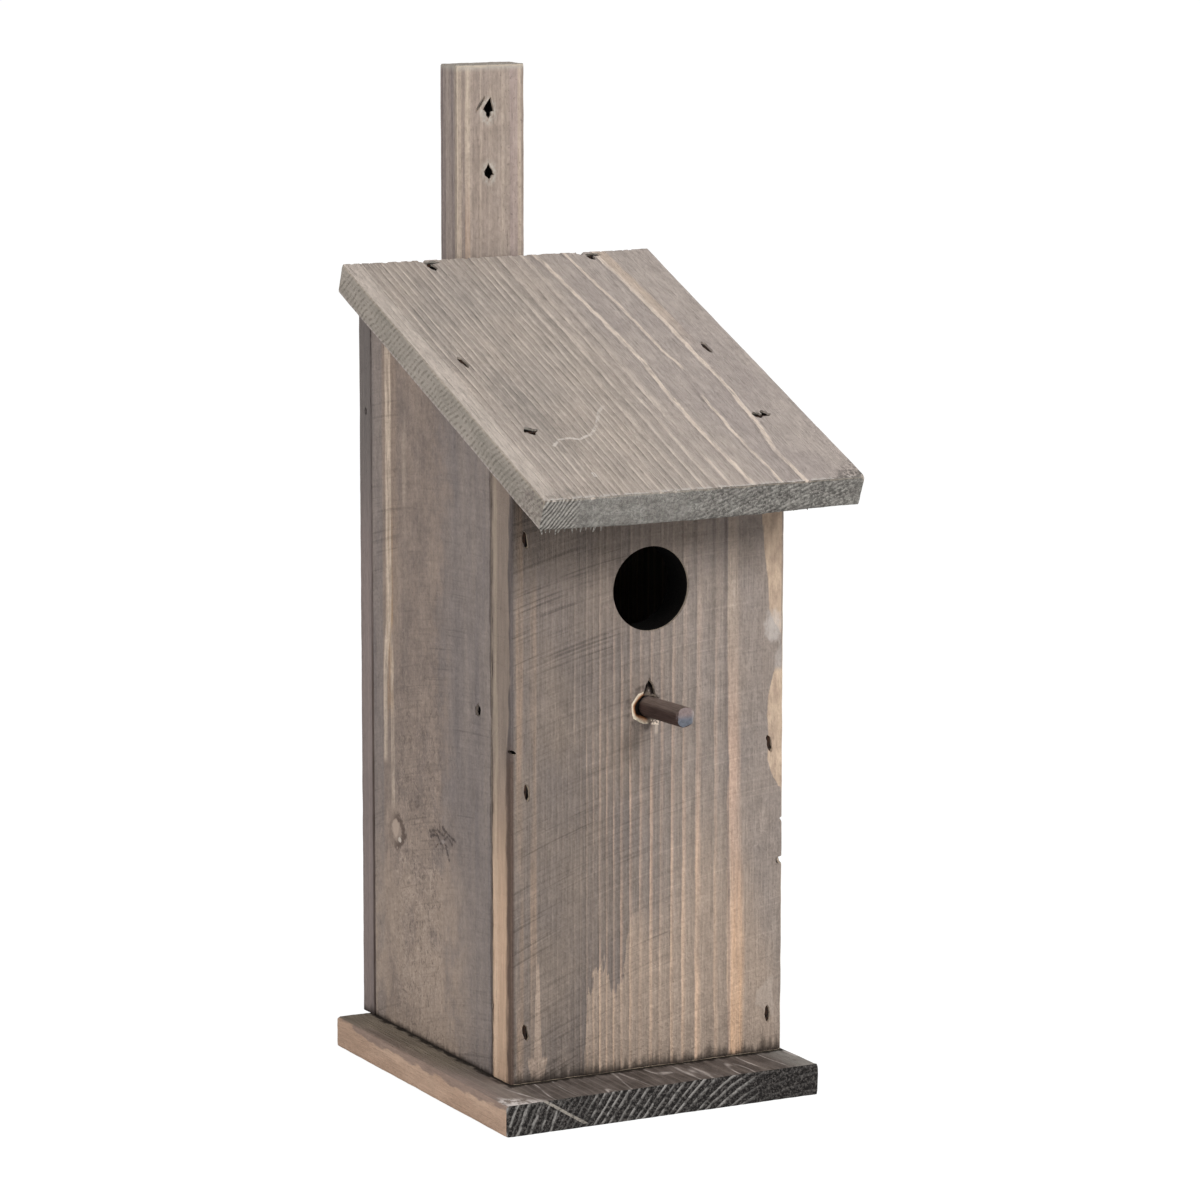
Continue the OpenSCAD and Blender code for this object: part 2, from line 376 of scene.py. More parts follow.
class Finish:
    """Nodes of one new material or world. Each step gives a value that the next one reads, and the
    colour is painted on in coats."""

    def __init__(self, holder):
        self.holder = holder
        holder.use_nodes = True
        self.tree = holder.node_tree
        self.tree.nodes.clear()
        self.colour = None

    def node(self, kind, feeds, **settings):
        """A new node. Feeds gives its inputs, each a plain value or what another node puts out."""
        node = self.tree.nodes.new("ShaderNode" + kind)
        for key, value in settings.items():
            setattr(node, key, value)
        for key, value in feeds.items():
            if isinstance(value, Value):
                self.tree.links.new(value.socket, node.inputs[key])
            else:
                node.inputs[key].default_value = value
        return node

    def add(self, kind, feeds, out=0, **settings):
        """One output of a new node."""
        return Value(self, self.node(kind, feeds, **settings).outputs[out])

    def ray(self, kind):
        """1 for rays of that kind."""
        return self.add("LightPath", {}, out=f"Is {kind} Ray")

    def math(self, operation, a, b=0):
        return self.add("Math", {0: a, 1: b}, operation=operation)

    def least(self, a, b):
        return self.math("MINIMUM", a, b)

    def most(self, a, b):
        return self.math("MAXIMUM", a, b)

    def distance(self, x, z):
        return self.math("SQRT", x * x + z * z)

    def vector(self, operation, a, b=(0, 0, 0), out=0):
        return self.add("VectorMath", {0: a, 1: b}, out=out, operation=operation)

    def split(self, at):
        return [Value(self, socket) for socket in self.node("SeparateXYZ", {0: at}).outputs]

    def join(self, x, y, z):
        return self.add("CombineXYZ", {0: x, 1: y, 2: z})

    def blend(self, share, a, b):
        """Colour a turned to colour b by share. A plain colour is red, green and blue as they are seen."""
        a, b = [colour if isinstance(colour, Value) else tone(*colour) for colour in (a, b)]
        return self.add("Mix", {0: share, 6: a, 7: b}, out=2, data_type="RGBA")

    def coat(self, share, colour):
        """Paints colour over what is there, by share."""
        self.colour = self.blend(share, self.colour, colour)

    def shade(self, gain):
        """Makes what is there lighter or darker."""
        self.colour = self.colour.scaled(gain)

    def finish(self, height, rough=0.85, metallic=0, specular=0.12):
        """Closes the material. Height is in mm."""
        normal = self.add("Bump", {"Strength": 1, "Distance": MM, "Height": height})
        feeds = {"Base Color": self.colour, "Roughness": rough, "Normal": normal, "Metallic": metallic,
                 "Specular IOR Level": specular}
        return self.close(self.add("BsdfPrincipled", feeds))

    def close(self, shader):
        self.node("OutputMaterial", {0: shader})
        return self.holder


class Wood(Finish):
    """Stained, weathered spruce in a board's own frame: X across it, Y through it, Z along its grain."""

    def __init__(self, name, origin, turn, seed, lo, hi):
        """lo and hi are the board's corners in its frame, which is in mm."""
        super().__init__(bpy.data.materials.new(name))
        place = {"Vector": self.add("TexCoord", {}, out=3), "Location": origin, "Rotation": turn,
                 "Scale": (MM, MM, MM)}
        self.at = self.add("Mapping", place, vector_type="TEXTURE")
        self.x, self.y, self.z = self.split(self.at)
        self.seeded = self.vector("ADD", self.at, (seed * 131, seed * 57, seed * 311))
        along = tuple(Euler(turn).to_matrix() @ Vector((0, 0, 1)))
        facing = self.vector("DOT_PRODUCT", self.add("NewGeometry", {}, out=1), along, out=1)
        self.end = abs(facing).ramp(0.55, 0.8)
        self.foot = lo[2]
        # How far a point lies below the sawn board's outer face, and below its nearest face
        self.below = self.y - lo[1]
        self.deep = self.below
        for gap in (self.x - lo[0], hi[0] - self.x, hi[1] - self.y, self.z - lo[2], hi[2] - self.z):
            self.deep = self.least(self.deep, gap)

    def spots(self, across, along, detail=2, rough=0.5, twist=0):
        """Noise over the board, about 0.5 in the middle, so long across and along the grain."""
        return self.seeded.noise((across, across, along), detail, rough, twist)

    def cloud(self, across, along, detail=2, rough=0.5, spread=0.15):
        """The same noise spread from 0 to 1."""
        return self.spots(across, along, detail, rough).ramp(0.5 - spread, 0.5 + spread, smooth=False)

    def grow(self, heart, first, years, slow=2, quick=0.6):
        """Year rings round the heart of the log. The first starts so far from it, and years gives each
        one's width and how light its latewood is. They wander slowly and quickly by so many mm. Gives
        the ring number and that lightness."""
        moved = self.at
        for size, detail, stray in (((50, 50, 360), 1, slow), ((7, 7, 50), 2, quick)):
            shift = self.vector("SUBTRACT", self.seeded.noise(size, detail, out=1), (0.5, 0.5, 0.5))
            moved = self.vector("ADD", moved, shift.scaled(2 * stray))
        flat = self.vector("MULTIPLY", self.vector("SUBTRACT", moved, (*heart, 0)), (1, 1, 0))
        r = self.vector("LENGTH", flat, out=1)
        edges = [first]
        for width, _ in years:
            edges.append(edges[-1] + width)
        span = edges[-1] - first
        count = len(years)
        place = [(edge - first) / span for edge in edges]
        share = r.ramp(first, edges[-1], smooth=False)
        within = share.curve([(p, i / count) for i, p in enumerate(place)])
        beyond = self.most(r - edges[-1], 0) * (1 / years[-1][0])
        before = self.least(r - first, 0) * (1 / years[0][0])
        rings = within * count + beyond + before
        light = share.curve([(p, year[1]) for p, year in zip(place, years)], steps=True)
        return rings, light

    def late(self, rings, start=0.55):
        """Latewood of each year, 0 to 1: it comes up from start and stops short."""
        top = start + 0.7 * (1 - start)
        stops = [(0, 0.5), (0.035, 0), (start, 0), (top, 1), (0.96, 1), (1, 0.5)]
        return self.math("FRACT", rings).curve(stops)

    def valley(self, rings, width=0.25):
        """Soft wood just outside each year's edge, which is worn lowest and darkest."""
        stops = [(0, 0), (0.06, 1), (0.5 * width, 0.8), (width + 0.1, 0), (1, 0)]
        return self.math("FRACT", rings).curve(stops)

    def grain(self, thread=0.05, fibre=0.09, fleck=0.05, fleck_size=(1, 1.8), mottle=0.06):
        """Threads, fibres, flecks and mottling of the surface, as a gain near 1."""
        kinds = ((thread, 1, 170, 2, 0.6), (fibre, 0.55, 15, 3, 0.6), (fleck, *fleck_size, 2, 0.6),
                 (mottle, 3.5, 9, 5, 0.72))
        self.rough_height = 0
        for amount, *pattern in kinds:
            self.rough_height = (self.cloud(*pattern) - 0.5) * (2 * amount) + self.rough_height
        return 1 + self.rough_height

    def slant(self, angle):
        """How far a point lies across and along a saw's marks, which rise along X by angle and bend."""
        lift = math.radians(angle)
        across = self.z * math.cos(lift) - self.x * math.sin(lift)
        run = self.z * math.sin(lift) + self.x * math.cos(lift)
        return across + run * run * 0.0014, run

    def saw(self, angle, seed):
        """Marks that a saw left across the face: close faint ones and a few long clear ones."""
        across, run = self.slant(angle)

        def marks(shift, size, detail, rough, lo, hi):
            return self.join(across, run, seed + shift).noise(size, detail, rough).ramp(lo, hi)
        close = marks(0, (1, 34, 1), 2, 0.6, 0.5, 0.66)
        clear = marks(5, (1.1, 60, 1), 0, 0.5, 0.62, 0.7)
        part = marks(9, (9, 30, 1), 1, 0.5, 0.42, 0.56)
        return self.most(close * 0.5, clear * part)

    def paint_foot_shade(self, late, high, shade_tone=(50, 41, 36)):
        """Painted shade at the board's foot, where it meets the floor, reaching further up along the soft
        wood.
        """
        reach = self.cloud(2.6, 40, 3, spread=0.2) * (1 - late * 0.8)
        share = ((self.z - self.foot) / (1.4 + reach * high)).ramp(0, 1.1, 1, 0)
        self.coat(share * 0.9, shade_tone)

    def cuts(self, fresh=0.3, dark=(1, 1.5)):
        """Bare wood just under the outer face, wherever it is cut, and painted shade further in, where the
        cut is deep.
        """
        rim = self.deep.hill(0.62 * dark[0], 0.3 * dark[0], 0.12) * self.below.ramp(3, 2.5)
        self.coat(rim * fresh, BARE)
        self.coat(self.deep.ramp(*dark), HOLE_SHADE)

    def near(self, points):
        """Distance in mm from the line through points, given as (x, z) on the board's face."""
        flat = self.join(self.x, 0, self.z)
        distance = 1000
        for (x0, z0), (x1, z1) in zip(points, points[1:]):
            way = Vector((x1 - x0, 0, z1 - z0))
            offset = self.vector("SUBTRACT", flat, (x0, 0, z0))
            along = self.vector("DOT_PRODUCT", offset, way / way.length_squared, out=1)
            share = along.ramp(0, 1, smooth=False)
            reached = self.add("VectorMath", {0: way, 3: share}, operation="SCALE")
            gap = self.vector("SUBTRACT", offset, reached)
            distance = self.least(self.vector("LENGTH", gap, out=1), distance)
        return distance


def fit(name, obj, nodes, material):
    """Puts a finished piece in the place of its CAD node."""
    obj.name = name
    obj.data.name = name
    only(obj)
    bpy.ops.object.shade_smooth_by_angle(angle=math.radians(40))
    obj.data.materials.clear()
    obj.data.materials.append(material)
    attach(obj, "root")
    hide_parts(*nodes)


# Front board

# Year rings from the heart outwards: width in mm, and how light the latewood is
FRONT_YEARS = ((4, 1), (2.2, 0.5), (4.1, 1), (3.5, 0.6), (3.1, 0.75), (3.4, 0.45), (3.1, 0.85), (3.6, 0.5),
               (3.3, 0.75), (3.2, 0.6), (2.6, 0.7), (2.5, 0.5), (2.6, 0.75), (2.4, 0.45), (2.3, 0.65),
               (2.2, 0.45), (2.4, 0.6), (2.1, 0.35), (2.3, 0.5), (2, 0.6), (2.2, 0.3), (2.1, 0.5), (2, 0.4))

# How high the stain is missing above the floor, across the board, in mm
UNSTAINED = ((-28, 2), (-27.3, 5), (-26, 29), (-24, 37), (-21.5, 40), (-18.2, 44), (-16.9, 40), (-15.6, 32),
             (-14.3, 29), (-12.3, 34), (-10.4, 39), (-9.1, 54), (-5.9, 65), (0, 76), (8, 92), (24, 118),
             (42, 110), (58, 40))


def front_wood():
    w = Wood("front_wood", (0, FRONT_LO.y, 0), (0, 0, 0), 1, (-58, 0, 12), (58, 16, 256))
    rings, light = w.grow((47, 40), 37.8, FRONT_YEARS, slow=1, quick=0.35)
    # Right of the heart the light wood shows only high up
    light = light * w.x.ramp(50, 46)
    fade = w.cloud(3, 60).ramp(0.1, 0.9, 0.35, 1)
    left = w.x.ramp(-50, -12, 0.3, 1)
    late = w.late(rings, 0.62) * light * fade * left
    valley = w.valley(rings, 0.3) * left
    band = w.cloud(7, 300, spread=0.2)
    blotch = w.cloud(20, 36, 4)
    w.colour = w.blend(band, (112, 103, 98), (124, 113, 106))
    right = w.x.ramp(-22, 26)
    w.coat(right * 0.85, (144, 133, 126))
    w.coat(blotch * 0.35, (142, 127, 113))
    uneven = (w.cloud(5, 8, 4, 0.65) - 0.5) * w.x.ramp(0, 30) * 0.12
    w.shade(1 + uneven)
    high = w.z.ramp(110, 205)
    warm = w.blend(high, (194, 165, 145), (156, 141, 130))
    warm = w.blend(w.x.ramp(-8, -40), warm, (150, 135, 123))
    w.coat(late * 0.95, warm)
    w.shade(1 - valley * 0.16)
    front_streaks(w)
    front_unstained(w, late, valley)
    front_stripe(w)
    part = w.cloud(34, 40).ramp(0.1, 0.7, 0.45, 1) * w.x.ramp(30, -6, 0.3, 1)
    marks = w.saw(19, 3) * part
    shine = w.saw(19, 31) * 0.12
    w.shade(1 + marks * -0.26 + shine)
    w.shade(w.grain(0.05, 0.09, 0.08, (0.9, 1.3), 0.08))
    front_rubbed(w)
    w.paint_foot_shade(late, 8.5, (46, 39, 35))
    # Painted shadow of the roof under the eaves across the board, and deeper painted shade at the left
    # under it
    w.shade(w.z.ramp(190, 224, 1, 0.72))
    eaves_shade = w.z.ramp(214, 240) * w.x.ramp(-10, -42)
    w.coat(eaves_shade * 0.7, (46, 38, 34))
    w.cuts(0.7)
    front_left_edge(w)
    perch_mouth_colour(w)
    # Painted shade inside the entrance: its wall is painted dark
    away = w.distance(w.x - ENTRANCE.x / MM, w.z - ENTRANCE.z / MM)
    w.coat(away.ramp(17, 16.6) * w.below.ramp(1.2, 1.8), HOLE_SHADE)
    height = late * 0.12 + valley * -0.12 + w.rough_height * 1.5 + marks * -0.14
    return w.finish(height)


def front_streaks(w):
    """Two tan streaks near the left edge."""
    for x, half, share in ((-48.6, 0.7, 0.5), (-54.2, 0.8, 0.55)):
        streak = w.x.hill(x, half, 1.2) * w.cloud(5, 60)
        w.coat(streak * share, (162, 138, 118))


def front_stripe(w):
    """The widest ring, near the right: grey high up, pinkish lower and tan at the foot."""
    wander = (w.spots(40, 70, 1) - 0.5) * 2
    place = w.x + wander
    left = w.z.ramp(40, 200, 35.6, 33.8)
    right = w.z.ramp(40, 160, 40.4, 37.4)
    stripe = (place - left).ramp(-0.3, 0.4) * (place - right).ramp(-1, 2, 1, 0)
    stripe = stripe * w.cloud(1.3, 34, 3).ramp(0, 1, 0.6, 1)
    tan = w.blend(w.z.ramp(40, 110), (200, 165, 136), (178, 153, 137))
    tan = w.blend(w.z.ramp(130, 190), tan, (162, 147, 134))
    beside = (place - left).ramp(-2, -1.1) * (place - left).ramp(-0.2, -0.6)
    w.coat(beside * 0.5, (108, 98, 94))
    w.coat(stripe * 0.9, tan)


def front_unstained(w, late, valley):
    """Paler wood that runs up from the floor, ragged on the left and fading on the right."""
    up = w.z - 12
    line = w.x.follow(UNSTAINED, 120)
    ragged = (w.cloud(1.3, 8) - 0.5) * 7
    soft = w.x.ramp(-10, 6, 1.2, 60)
    over = (line + ragged - up) / soft
    bare = over.ramp(0, 1) * w.x.ramp(-28, -27.4)
    # A drop that widens downwards, near the left
    half = up.ramp(10, 46, 1.4, 0.4, smooth=False)
    foot = w.x.hill(-47, up.ramp(2, 9, 2.6, 3.8), 0.5) * up.ramp(10.5, 8.5) * up.ramp(0, 4)
    top = w.cloud(1, 26).ramp(0, 1, 44, 58)
    drop = w.most(w.x.hill(-46.8, half, 0.4) * (top - up).ramp(0, 8), foot)
    pale = w.blend(late, (158, 141, 127), (206, 176, 152))
    pale = pale.scaled(1 - valley * 0.14)
    w.coat(bare * 0.85, pale)
    w.coat(drop * 0.8, (170, 151, 136))


def front_rubbed(w):
    """Bare patches along the right edge."""
    ragged = w.cloud(2.5, 12, 3) - 0.5
    inside = w.x - ragged
    tan = w.blend(w.cloud(3, 9, 4, 0.65), (166, 144, 126), (204, 180, 156))
    start = w.z.ramp(186, 171, w.z.ramp(222, 188, 48.6, 51.4), 57.4)
    high = (inside - start).ramp(0, 0.5) * w.z.ramp(168, 174)
    w.coat(high * w.x.ramp(57.2, 56.7) * 0.85, tan)
    for x, z, wide, tall, share in ((53.6, 178, 3.4, 5.8, 0.55), (56.6, 164, 2, 6.5, 0.3)):
        dx = (inside - x) * (1 / wide)
        dz = (w.z - z) * (1 / tall)
        uneven = (w.spots(2.2, 2.6, 3) - 0.5) * 2.6
        spot = (dx * dx + dz * dz + uneven).ramp(1.9, 0)
        w.coat(spot * share, (196, 188, 182))
    # The middle patch narrows towards both ends
    stops = [(0, 0.85), (0.1, 0.4), (0.25, 0.12), (0.6, 0.05), (0.85, 0.2), (1, 0.55)]
    edge = w.z.ramp(115, 162, smooth=False).curve(stops)
    middle = (inside - edge.ramp(0, 1, 50.6, 58, smooth=False)).ramp(0, 0.4)
    bound = w.z.ramp(113, 116) * w.z.ramp(163, 160)
    worn = (w.y + (w.cloud(3, 9, 3) - 0.5) * 4).ramp(5.5, 2)
    w.coat(middle * bound * worn * 0.85, tan)
    # Small patch low down, beside the last staple
    low = inside.hill(50.5, 3.4, 1) * w.z.hill(34, w.x.ramp(47, 54, 2, 7), 2)
    w.coat(low * 0.45, (178, 164, 153))


def front_left_edge(w):
    """The board's own left edge: tan, and dark along the corner."""
    face = w.x.ramp(-57.3, -57.8)
    low = w.z.ramp(146, 70)
    deep = w.y + (w.cloud(3, 12, 3) - 0.5) * 1.4
    tan = w.blend(low * 0.85, (144, 129, 118), (214, 181, 154))
    paler = w.blend(low, (174, 158, 140), (222, 194, 168))
    tan = w.blend(deep.hill(12.4, 0.8, 1.2) * 0.55, tan, paler)
    tan = tan.scaled(0.88 + w.cloud(1.5, 20, 4, 0.65) * 0.24)
    w.coat(face * 0.95, tan)
    w.coat(deep.ramp(14.8, 15.4) * face * 0.9, (60, 50, 45))
    reach = w.z.ramp(150, 134, 2, 5)
    corner = w.x.ramp(-56.2, -57.3) * deep.ramp(reach, reach * 0.35) * w.z.ramp(244, 230, 0.5, 1)
    w.coat(corner * 0.92, w.blend(w.z.ramp(132, 148), (84, 69, 62), (96, 88, 86)))


def perch_mouth_colour(w):
    """Fresh wood left of the perch and below it, where the drill tore it, and splinters on the right, with
    a painted shadow round the mouth and painted shade in the gap beside the perch.
    """
    dx = w.x - PERCH.x / MM
    dz = w.z - PERCH.z / MM
    away = w.distance(dx + 2, dz)
    # Painted shadow in a ring round the mouth, on its left
    shade = away.hill(7.6, 0.5, 1.4) * dx.ramp(3, -1) * w.cloud(2, 3, 3)
    w.coat(shade * 0.6, (62, 52, 49))
    cut = away.ramp(8, 7.4) * w.y.ramp(0.06, 0.2)
    w.coat(cut * 0.7, (74, 64, 60))
    ring = cut * dx.ramp(-0.4, -1.8) * (dx + dz * 0.5).ramp(0.6, -0.4)
    # Cream far in at the top, browner and narrower halfway down
    close = w.distance(dx + 0.8, dz) + (w.spots(3, 4, 1) - 0.5) * 1.6
    close = close - dz.hill(-0.6, 1, 2.6) * 0.8
    torn = w.blend(close.ramp(6.6, 4.6), (250, 234, 210), (176, 118, 76))
    torn = torn.scaled(0.8 + w.cloud(0.9, 1.4, 3) * 0.2)
    # Painted shade: the gap beside the perch is painted dark
    torn = w.blend(close.ramp(5.4, 4), torn, HOLE_SHADE)
    w.coat(ring, torn)
    rough = w.cloud(0.8, 0.9, spread=0.08)
    chip = dx.hill(1.9, 1.3, 0.5) * dz.hill(-6, 0.7, 0.6) * rough
    trail = dx.hill(2.4, 0.4, 0.6) * dz.hill(-8.5, 1.2, 1.5) * 0.3
    w.coat(w.most(chip, trail), (226, 208, 190))


def front_board():
    rng = random.Random(11)
    obj = wall("front", FRONT_LO, FRONT_HI)
    round_edges(obj, 2, 0.4 * EDGE_R, where=lambda middle: middle.y < FRONT_LO.y + MM)
    round_edges(obj, 0, CUT_R, segments=2, where=lambda middle: middle.z < FRONT_LO.z + MM)
    age(obj, 0.9, ((2.2, 2.2, 50), 0.22, 1), ((12, 12, 9), 0.3, 2))
    # The highest staple on the right lies too close under the roof to show
    shown = staples_of("front_staples_left") + staples_of("front_staples_right")[:-1]
    slits = []
    # Each slit lies a little beside the middle of its staple
    for middle, aside in zip(shown, (0, 0.7, 0.3, 0, 0)):
        lean = rng.uniform(-0.25, -0.08)
        point = (middle.x + aside * MM, FRONT_LO.y, middle.z)
        slits.append(slit(on_face(point, (0, -1, 0), (lean, 0, 1)), rng))
    # Nicks in the right edge, and the hole in the left corner
    for z, long, deep in ((103, 3, 1), (87, 3.5, 2)):
        nick = on_face((FRONT_HI.x, FRONT_LO.y + 0.5 * MM, z * MM), (1, -0.5, 0), (0, 0, 1))
        slits.append(gouge(nick, long, 6, deep, rng))
    corner = on_face((FRONT_LO.x + 0.2 * MM, FRONT_LO.y + 0.2 * MM, 139.3 * MM), (-1, -1, 0), (1, -1, -0.4))
    slits.append(gouge(corner, 5, 2.4, 3, rng))
    entrance = drill(on_face(ENTRANCE, (0, -1, 0), (0, 0, 1)), ENTRANCE_D / 2, 22 * MM, sides=96)
    carve(obj, [entrance, gathered(slits)] + perch_cutters(rng))
    fit("front_board_wood", obj, ["front_board"], front_wood())


def perch_cutters(rng):
    """Drill for the perch, the mouth that it tore on the left, and two tears that meet above it."""
    straight = drill(ON_PERCH, PERCH_D / 2 + 0.1 * MM, 20 * MM, sides=28)
    mouth = primitive(bpy.ops.mesh.primitive_cone_add, "mouth", vertices=26, radius1=0.46 * PERCH_D,
                      radius2=1.03 * TORN_D / 2, depth=1.2 * TORN_DEEP,
                      location=(-2 * MM, -0.4 * MM, -0.4 * TORN_DEEP))
    shake(mouth, 0.15 * MM, rng)
    bake_place(mouth, ON_PERCH)
    tears = []
    for x, length, width, lean in ((-1.9, 11.5, 2.4, -0.38), (0.5, 11, 3.4, 0.32)):
        place = on_face(PERCH + Vector((x * MM, 0, 7 * MM)), (0, -1, 0), (-lean, 0, 1))
        tears.append(gouge(place, length, width, 1.7, rng, corners=5, narrow=0.5))
    return [straight, mouth] + tears


# Side boards

SIDE_YEARS = ((4, 0.5), (3.2, 0.8), (3.6, 0.4), (2.8, 0.7), (3, 0.5), (2.6, 0.9), (3.1, 0.5), (2.4, 0.7),
              (2.7, 0.4), (2.3, 0.8), (2.5, 0.5), (2.2, 0.6))


def left_wood():
    # Across this board X runs towards the front, and Y runs in from its face
    w = Wood("left_wood", (LEFT_LO.x, 0, 0), (0, 0, math.radians(-90)), 2, (-54.5, 0, 12), (49.5, 12, 300))
    back = w.x * -1
    rings, light = w.grow((10, 52), 44, SIDE_YEARS, slow=3, quick=0.8)
    late = w.late(rings, 0.4) * light * 0.25
    blotch = w.cloud(12, 17, 4, 0.62)
    warm = w.blend(blotch, (128, 115, 108), (150, 134, 123))
    cool = w.blend(w.cloud(9, 60, 3), (125, 116, 113), (139, 128, 122))
    coolness = w.most((w.x - blotch * 12).ramp(-8, 14), back.ramp(43.5, 46))
    w.colour = w.blend(coolness, warm, cool)
    low = w.z.ramp(130, 40) * w.x.ramp(42, 12)
    w.coat(low * blotch.ramp(0, 0.8, 0.3, 0.9), (166, 148, 134))
    w.coat(late, (150, 137, 126))
    side_streaks(w, back)
    side_flecks(w)
    # Smears along the marks of the saw
    across, run = w.slant(16)
    smear = w.join(across, run, 4).noise((2.8, 12, 1), 4, 0.66) - 0.5
    w.shade(1 + smear * 0.4)
    w.shade(w.grain(0.015, 0.04, 0.075, (1.5, 1.5), 0.1))
    marks = w.saw(16, 5) * w.cloud(26, 40)
    w.shade(1 - marks * 0.2)
    side_knots(w, back)
    w.paint_foot_shade(late, 2.6)
    joint = (w.x + w.cloud(3, 12, 3) - 0.5).ramp(48, 48.8)
    w.coat(joint * 0.65, (70, 60, 56))
    w.cuts()
    height = late * 0.1 + w.rough_height * 1.8 + marks * -0.1
    return w.finish(height)


def side_streaks(w, back):
    """Tan streak near the back that parts in two halfway down, a faint one beside it, and the joint."""
    upper = w.z.ramp(100, 130)
    parted = w.z.ramp(186, 142)
    grainy = w.cloud(2.2, 20, 4, 0.6).ramp(0.05, 0.8, 0.35, 1)
    between = back.hill(38.6, 2.2, 1.6) * w.z.hill(176, 26, 22) * w.cloud(3, 12, 3)
    w.coat(between * 0.8, (174, 144, 114))
    warm = back.hill(37, 2.5, 5) * w.z.ramp(150, 190) * 0.4
    w.coat(warm, (154, 134, 118))
    left = (back - parted.ramp(0, 1, 39.4, 43)).hill(0, parted.ramp(0, 1, 1.9, 0.9), 1.2)
    right = (back - parted.ramp(0, 1, 38.6, 36.6)).hill(0, 0.8, 1.2) * parted
    faint = back.hill(25, 1.2, 1.6) * w.z.hill(236, 12, 10) * 0.25
    both = w.most(left * w.z.ramp(115, 119), right * w.z.ramp(94, 108))
    strand = w.most(both, faint) * grainy
    w.coat(strand * w.z.ramp(110, 170, 0.65, 0.95), (206, 187, 169))
    joint = back.ramp(53.2, 54) * w.z.ramp(200, 130, 0.3, 0.8)
    w.coat(joint, w.blend(upper, (70, 58, 52), (92, 80, 75)))


# Cracks of the dark knot, as (x, z) places along each
KNOT_CRACKS = (((-4, 96.2), (3.4, 98.2), (9, 96.6)), ((-2.6, 94.6), (2.8, 96.2), (5.6, 93.6), (8.6, 92.2)),
               ((7.4, 100), (12.6, 97.8), (19, 96.6)), ((9, 95.2), (11.4, 97.2), (15.6, 95)),
               ((10.6, 92.6), (13.2, 88.2)))


def side_knots(w, back):
    """A light knot with a dark rim, and a dark cracked one in front of it."""
    def spot(across, along, half_across, half_along, rough=0.8):
        gx = (back - across) * (1 / half_across)
        gz = (w.z - along) * (1 / half_along)
        uneven = (w.spots(2.6, 2.2, 3) - 0.5) * rough
        return w.distance(gx, gz) + uneven
    rim = spot(33.2, 90.6, 6.4, 5.6, 1.2)
    seen = back.ramp(38.5, 32, 0.35, 1)
    w.coat(rim.hill(0.95, 0.12, 0.28) * seen * 0.75, (84, 70, 64))
    eye = spot(34.2, 91.6, 3.6, 4)
    w.coat(eye.ramp(1.05, 0.6) * 0.85, (180, 161, 147))
    shine = spot(30.6, 87.6, 1.6, 1.1, 0.3)
    w.coat(shine.ramp(1.1, 0.7) * 0.8, (210, 198, 186))
    drip = spot(41.4, 78, 1.6, 5)
    w.coat(drip.ramp(1.05, 0.7) * 0.5, (172, 152, 138))
    shade = spot(-7.6, 96, 13, 4.6).ramp(1.1, 0.5)
    w.coat(shade * 0.3, (84, 74, 72))
    crack = 1000
    for path in KNOT_CRACKS:
        crack = w.least(w.near(path), crack)
    crooked = (w.spots(1.6, 1.4, 3, 0.65) - 0.5) * 3
    crack = (crack + crooked).ramp(1, 0)
    w.coat(crack * 0.7, (58, 51, 51))
    w.coat(spot(-8, 94.4, 2.4, 1.2).ramp(1, 0.5) * 0.6, (164, 153, 148))


def side_flecks(w):
    """Light and dark flecks, thickest in a belt up the middle and low down."""
    belt = w.x.hill(-14, 15, 12) * w.z.ramp(190, 105, 0.3, 1)
    low = belt * w.z.ramp(90, 80) * w.z.ramp(22, 40, 0.4, 1)
    light = w.spots(3, 2.8, 3, 0.62, 1.2).ramp(0.53, 0.6)
    w.coat(light * belt * 0.35, (176, 158, 145))
    worms = w.spots(5, 4.4, 3, 0.7, 2.2).ramp(0.52, 0.58)
    w.coat(worms * low * 0.4, (188, 170, 156))
    dark = w.spots(2.8, 3.8, 3, 0.7, 1.4).ramp(0.45, 0.38)
    w.coat(dark * belt * 0.5, (96, 84, 78))


def side_board(name, node, lo, hi, material, seed, fine):
    rng = random.Random(seed)
    obj = wall(name, lo, hi)
    round_edges(obj, 2, CUT_R, segments=2)
    age(obj, fine, ((2.2, 2.2, 50), 0.2, seed), ((9, 9, 12), 0.3, seed + 1))
    if node == "left_side_board":
        mark = on_face((lo.x, -38.5 * MM, 150.5 * MM), (-1, 0, 0), (0, 0.1, 1))
        cuts = [gouge(mark, 5.6, 6, 5, rng, narrow=0.8)]
        for turn in (20, 75, 140, 200, 255, 320):
            way = Vector((0, math.cos(math.radians(turn)), math.sin(math.radians(turn))))
            point = Vector((lo.x, -6.2 * MM, 95 * MM)) + way * 4.6 * MM
            cuts.append(gouge(on_face(point, (-1, 0, 0), way), 6, 1.2, 0.7, rng, narrow=0.3))
        carve(obj, [gathered(cuts)])
    fit(name, obj, [node], material)


def plain_wood(name, origin, turn, seed, lo, hi, heart, *tones):
    """Weathered wood with no marks of its own, in two tones, and a light one for the latewood. Gives
    the wood and its height."""
    w = Wood(name, origin, (0, 0, math.radians(turn)), seed, lo, hi)
    rings, light = w.grow(heart, 44, SIDE_YEARS, slow=2.4, quick=0.7)
    late = w.late(rings) * light * 0.6
    valley = w.valley(rings)
    w.colour = w.blend(w.cloud(9, 320), tones[0], tones[1])
    w.coat(late, tones[2])
    w.shade(0.93 + w.cloud(18, 44, 4) * 0.14)
    w.shade(w.grain())
    w.shade(1 - valley * 0.07)
    return w, late * 0.12 + valley * -0.08 + w.rough_height * 1.8


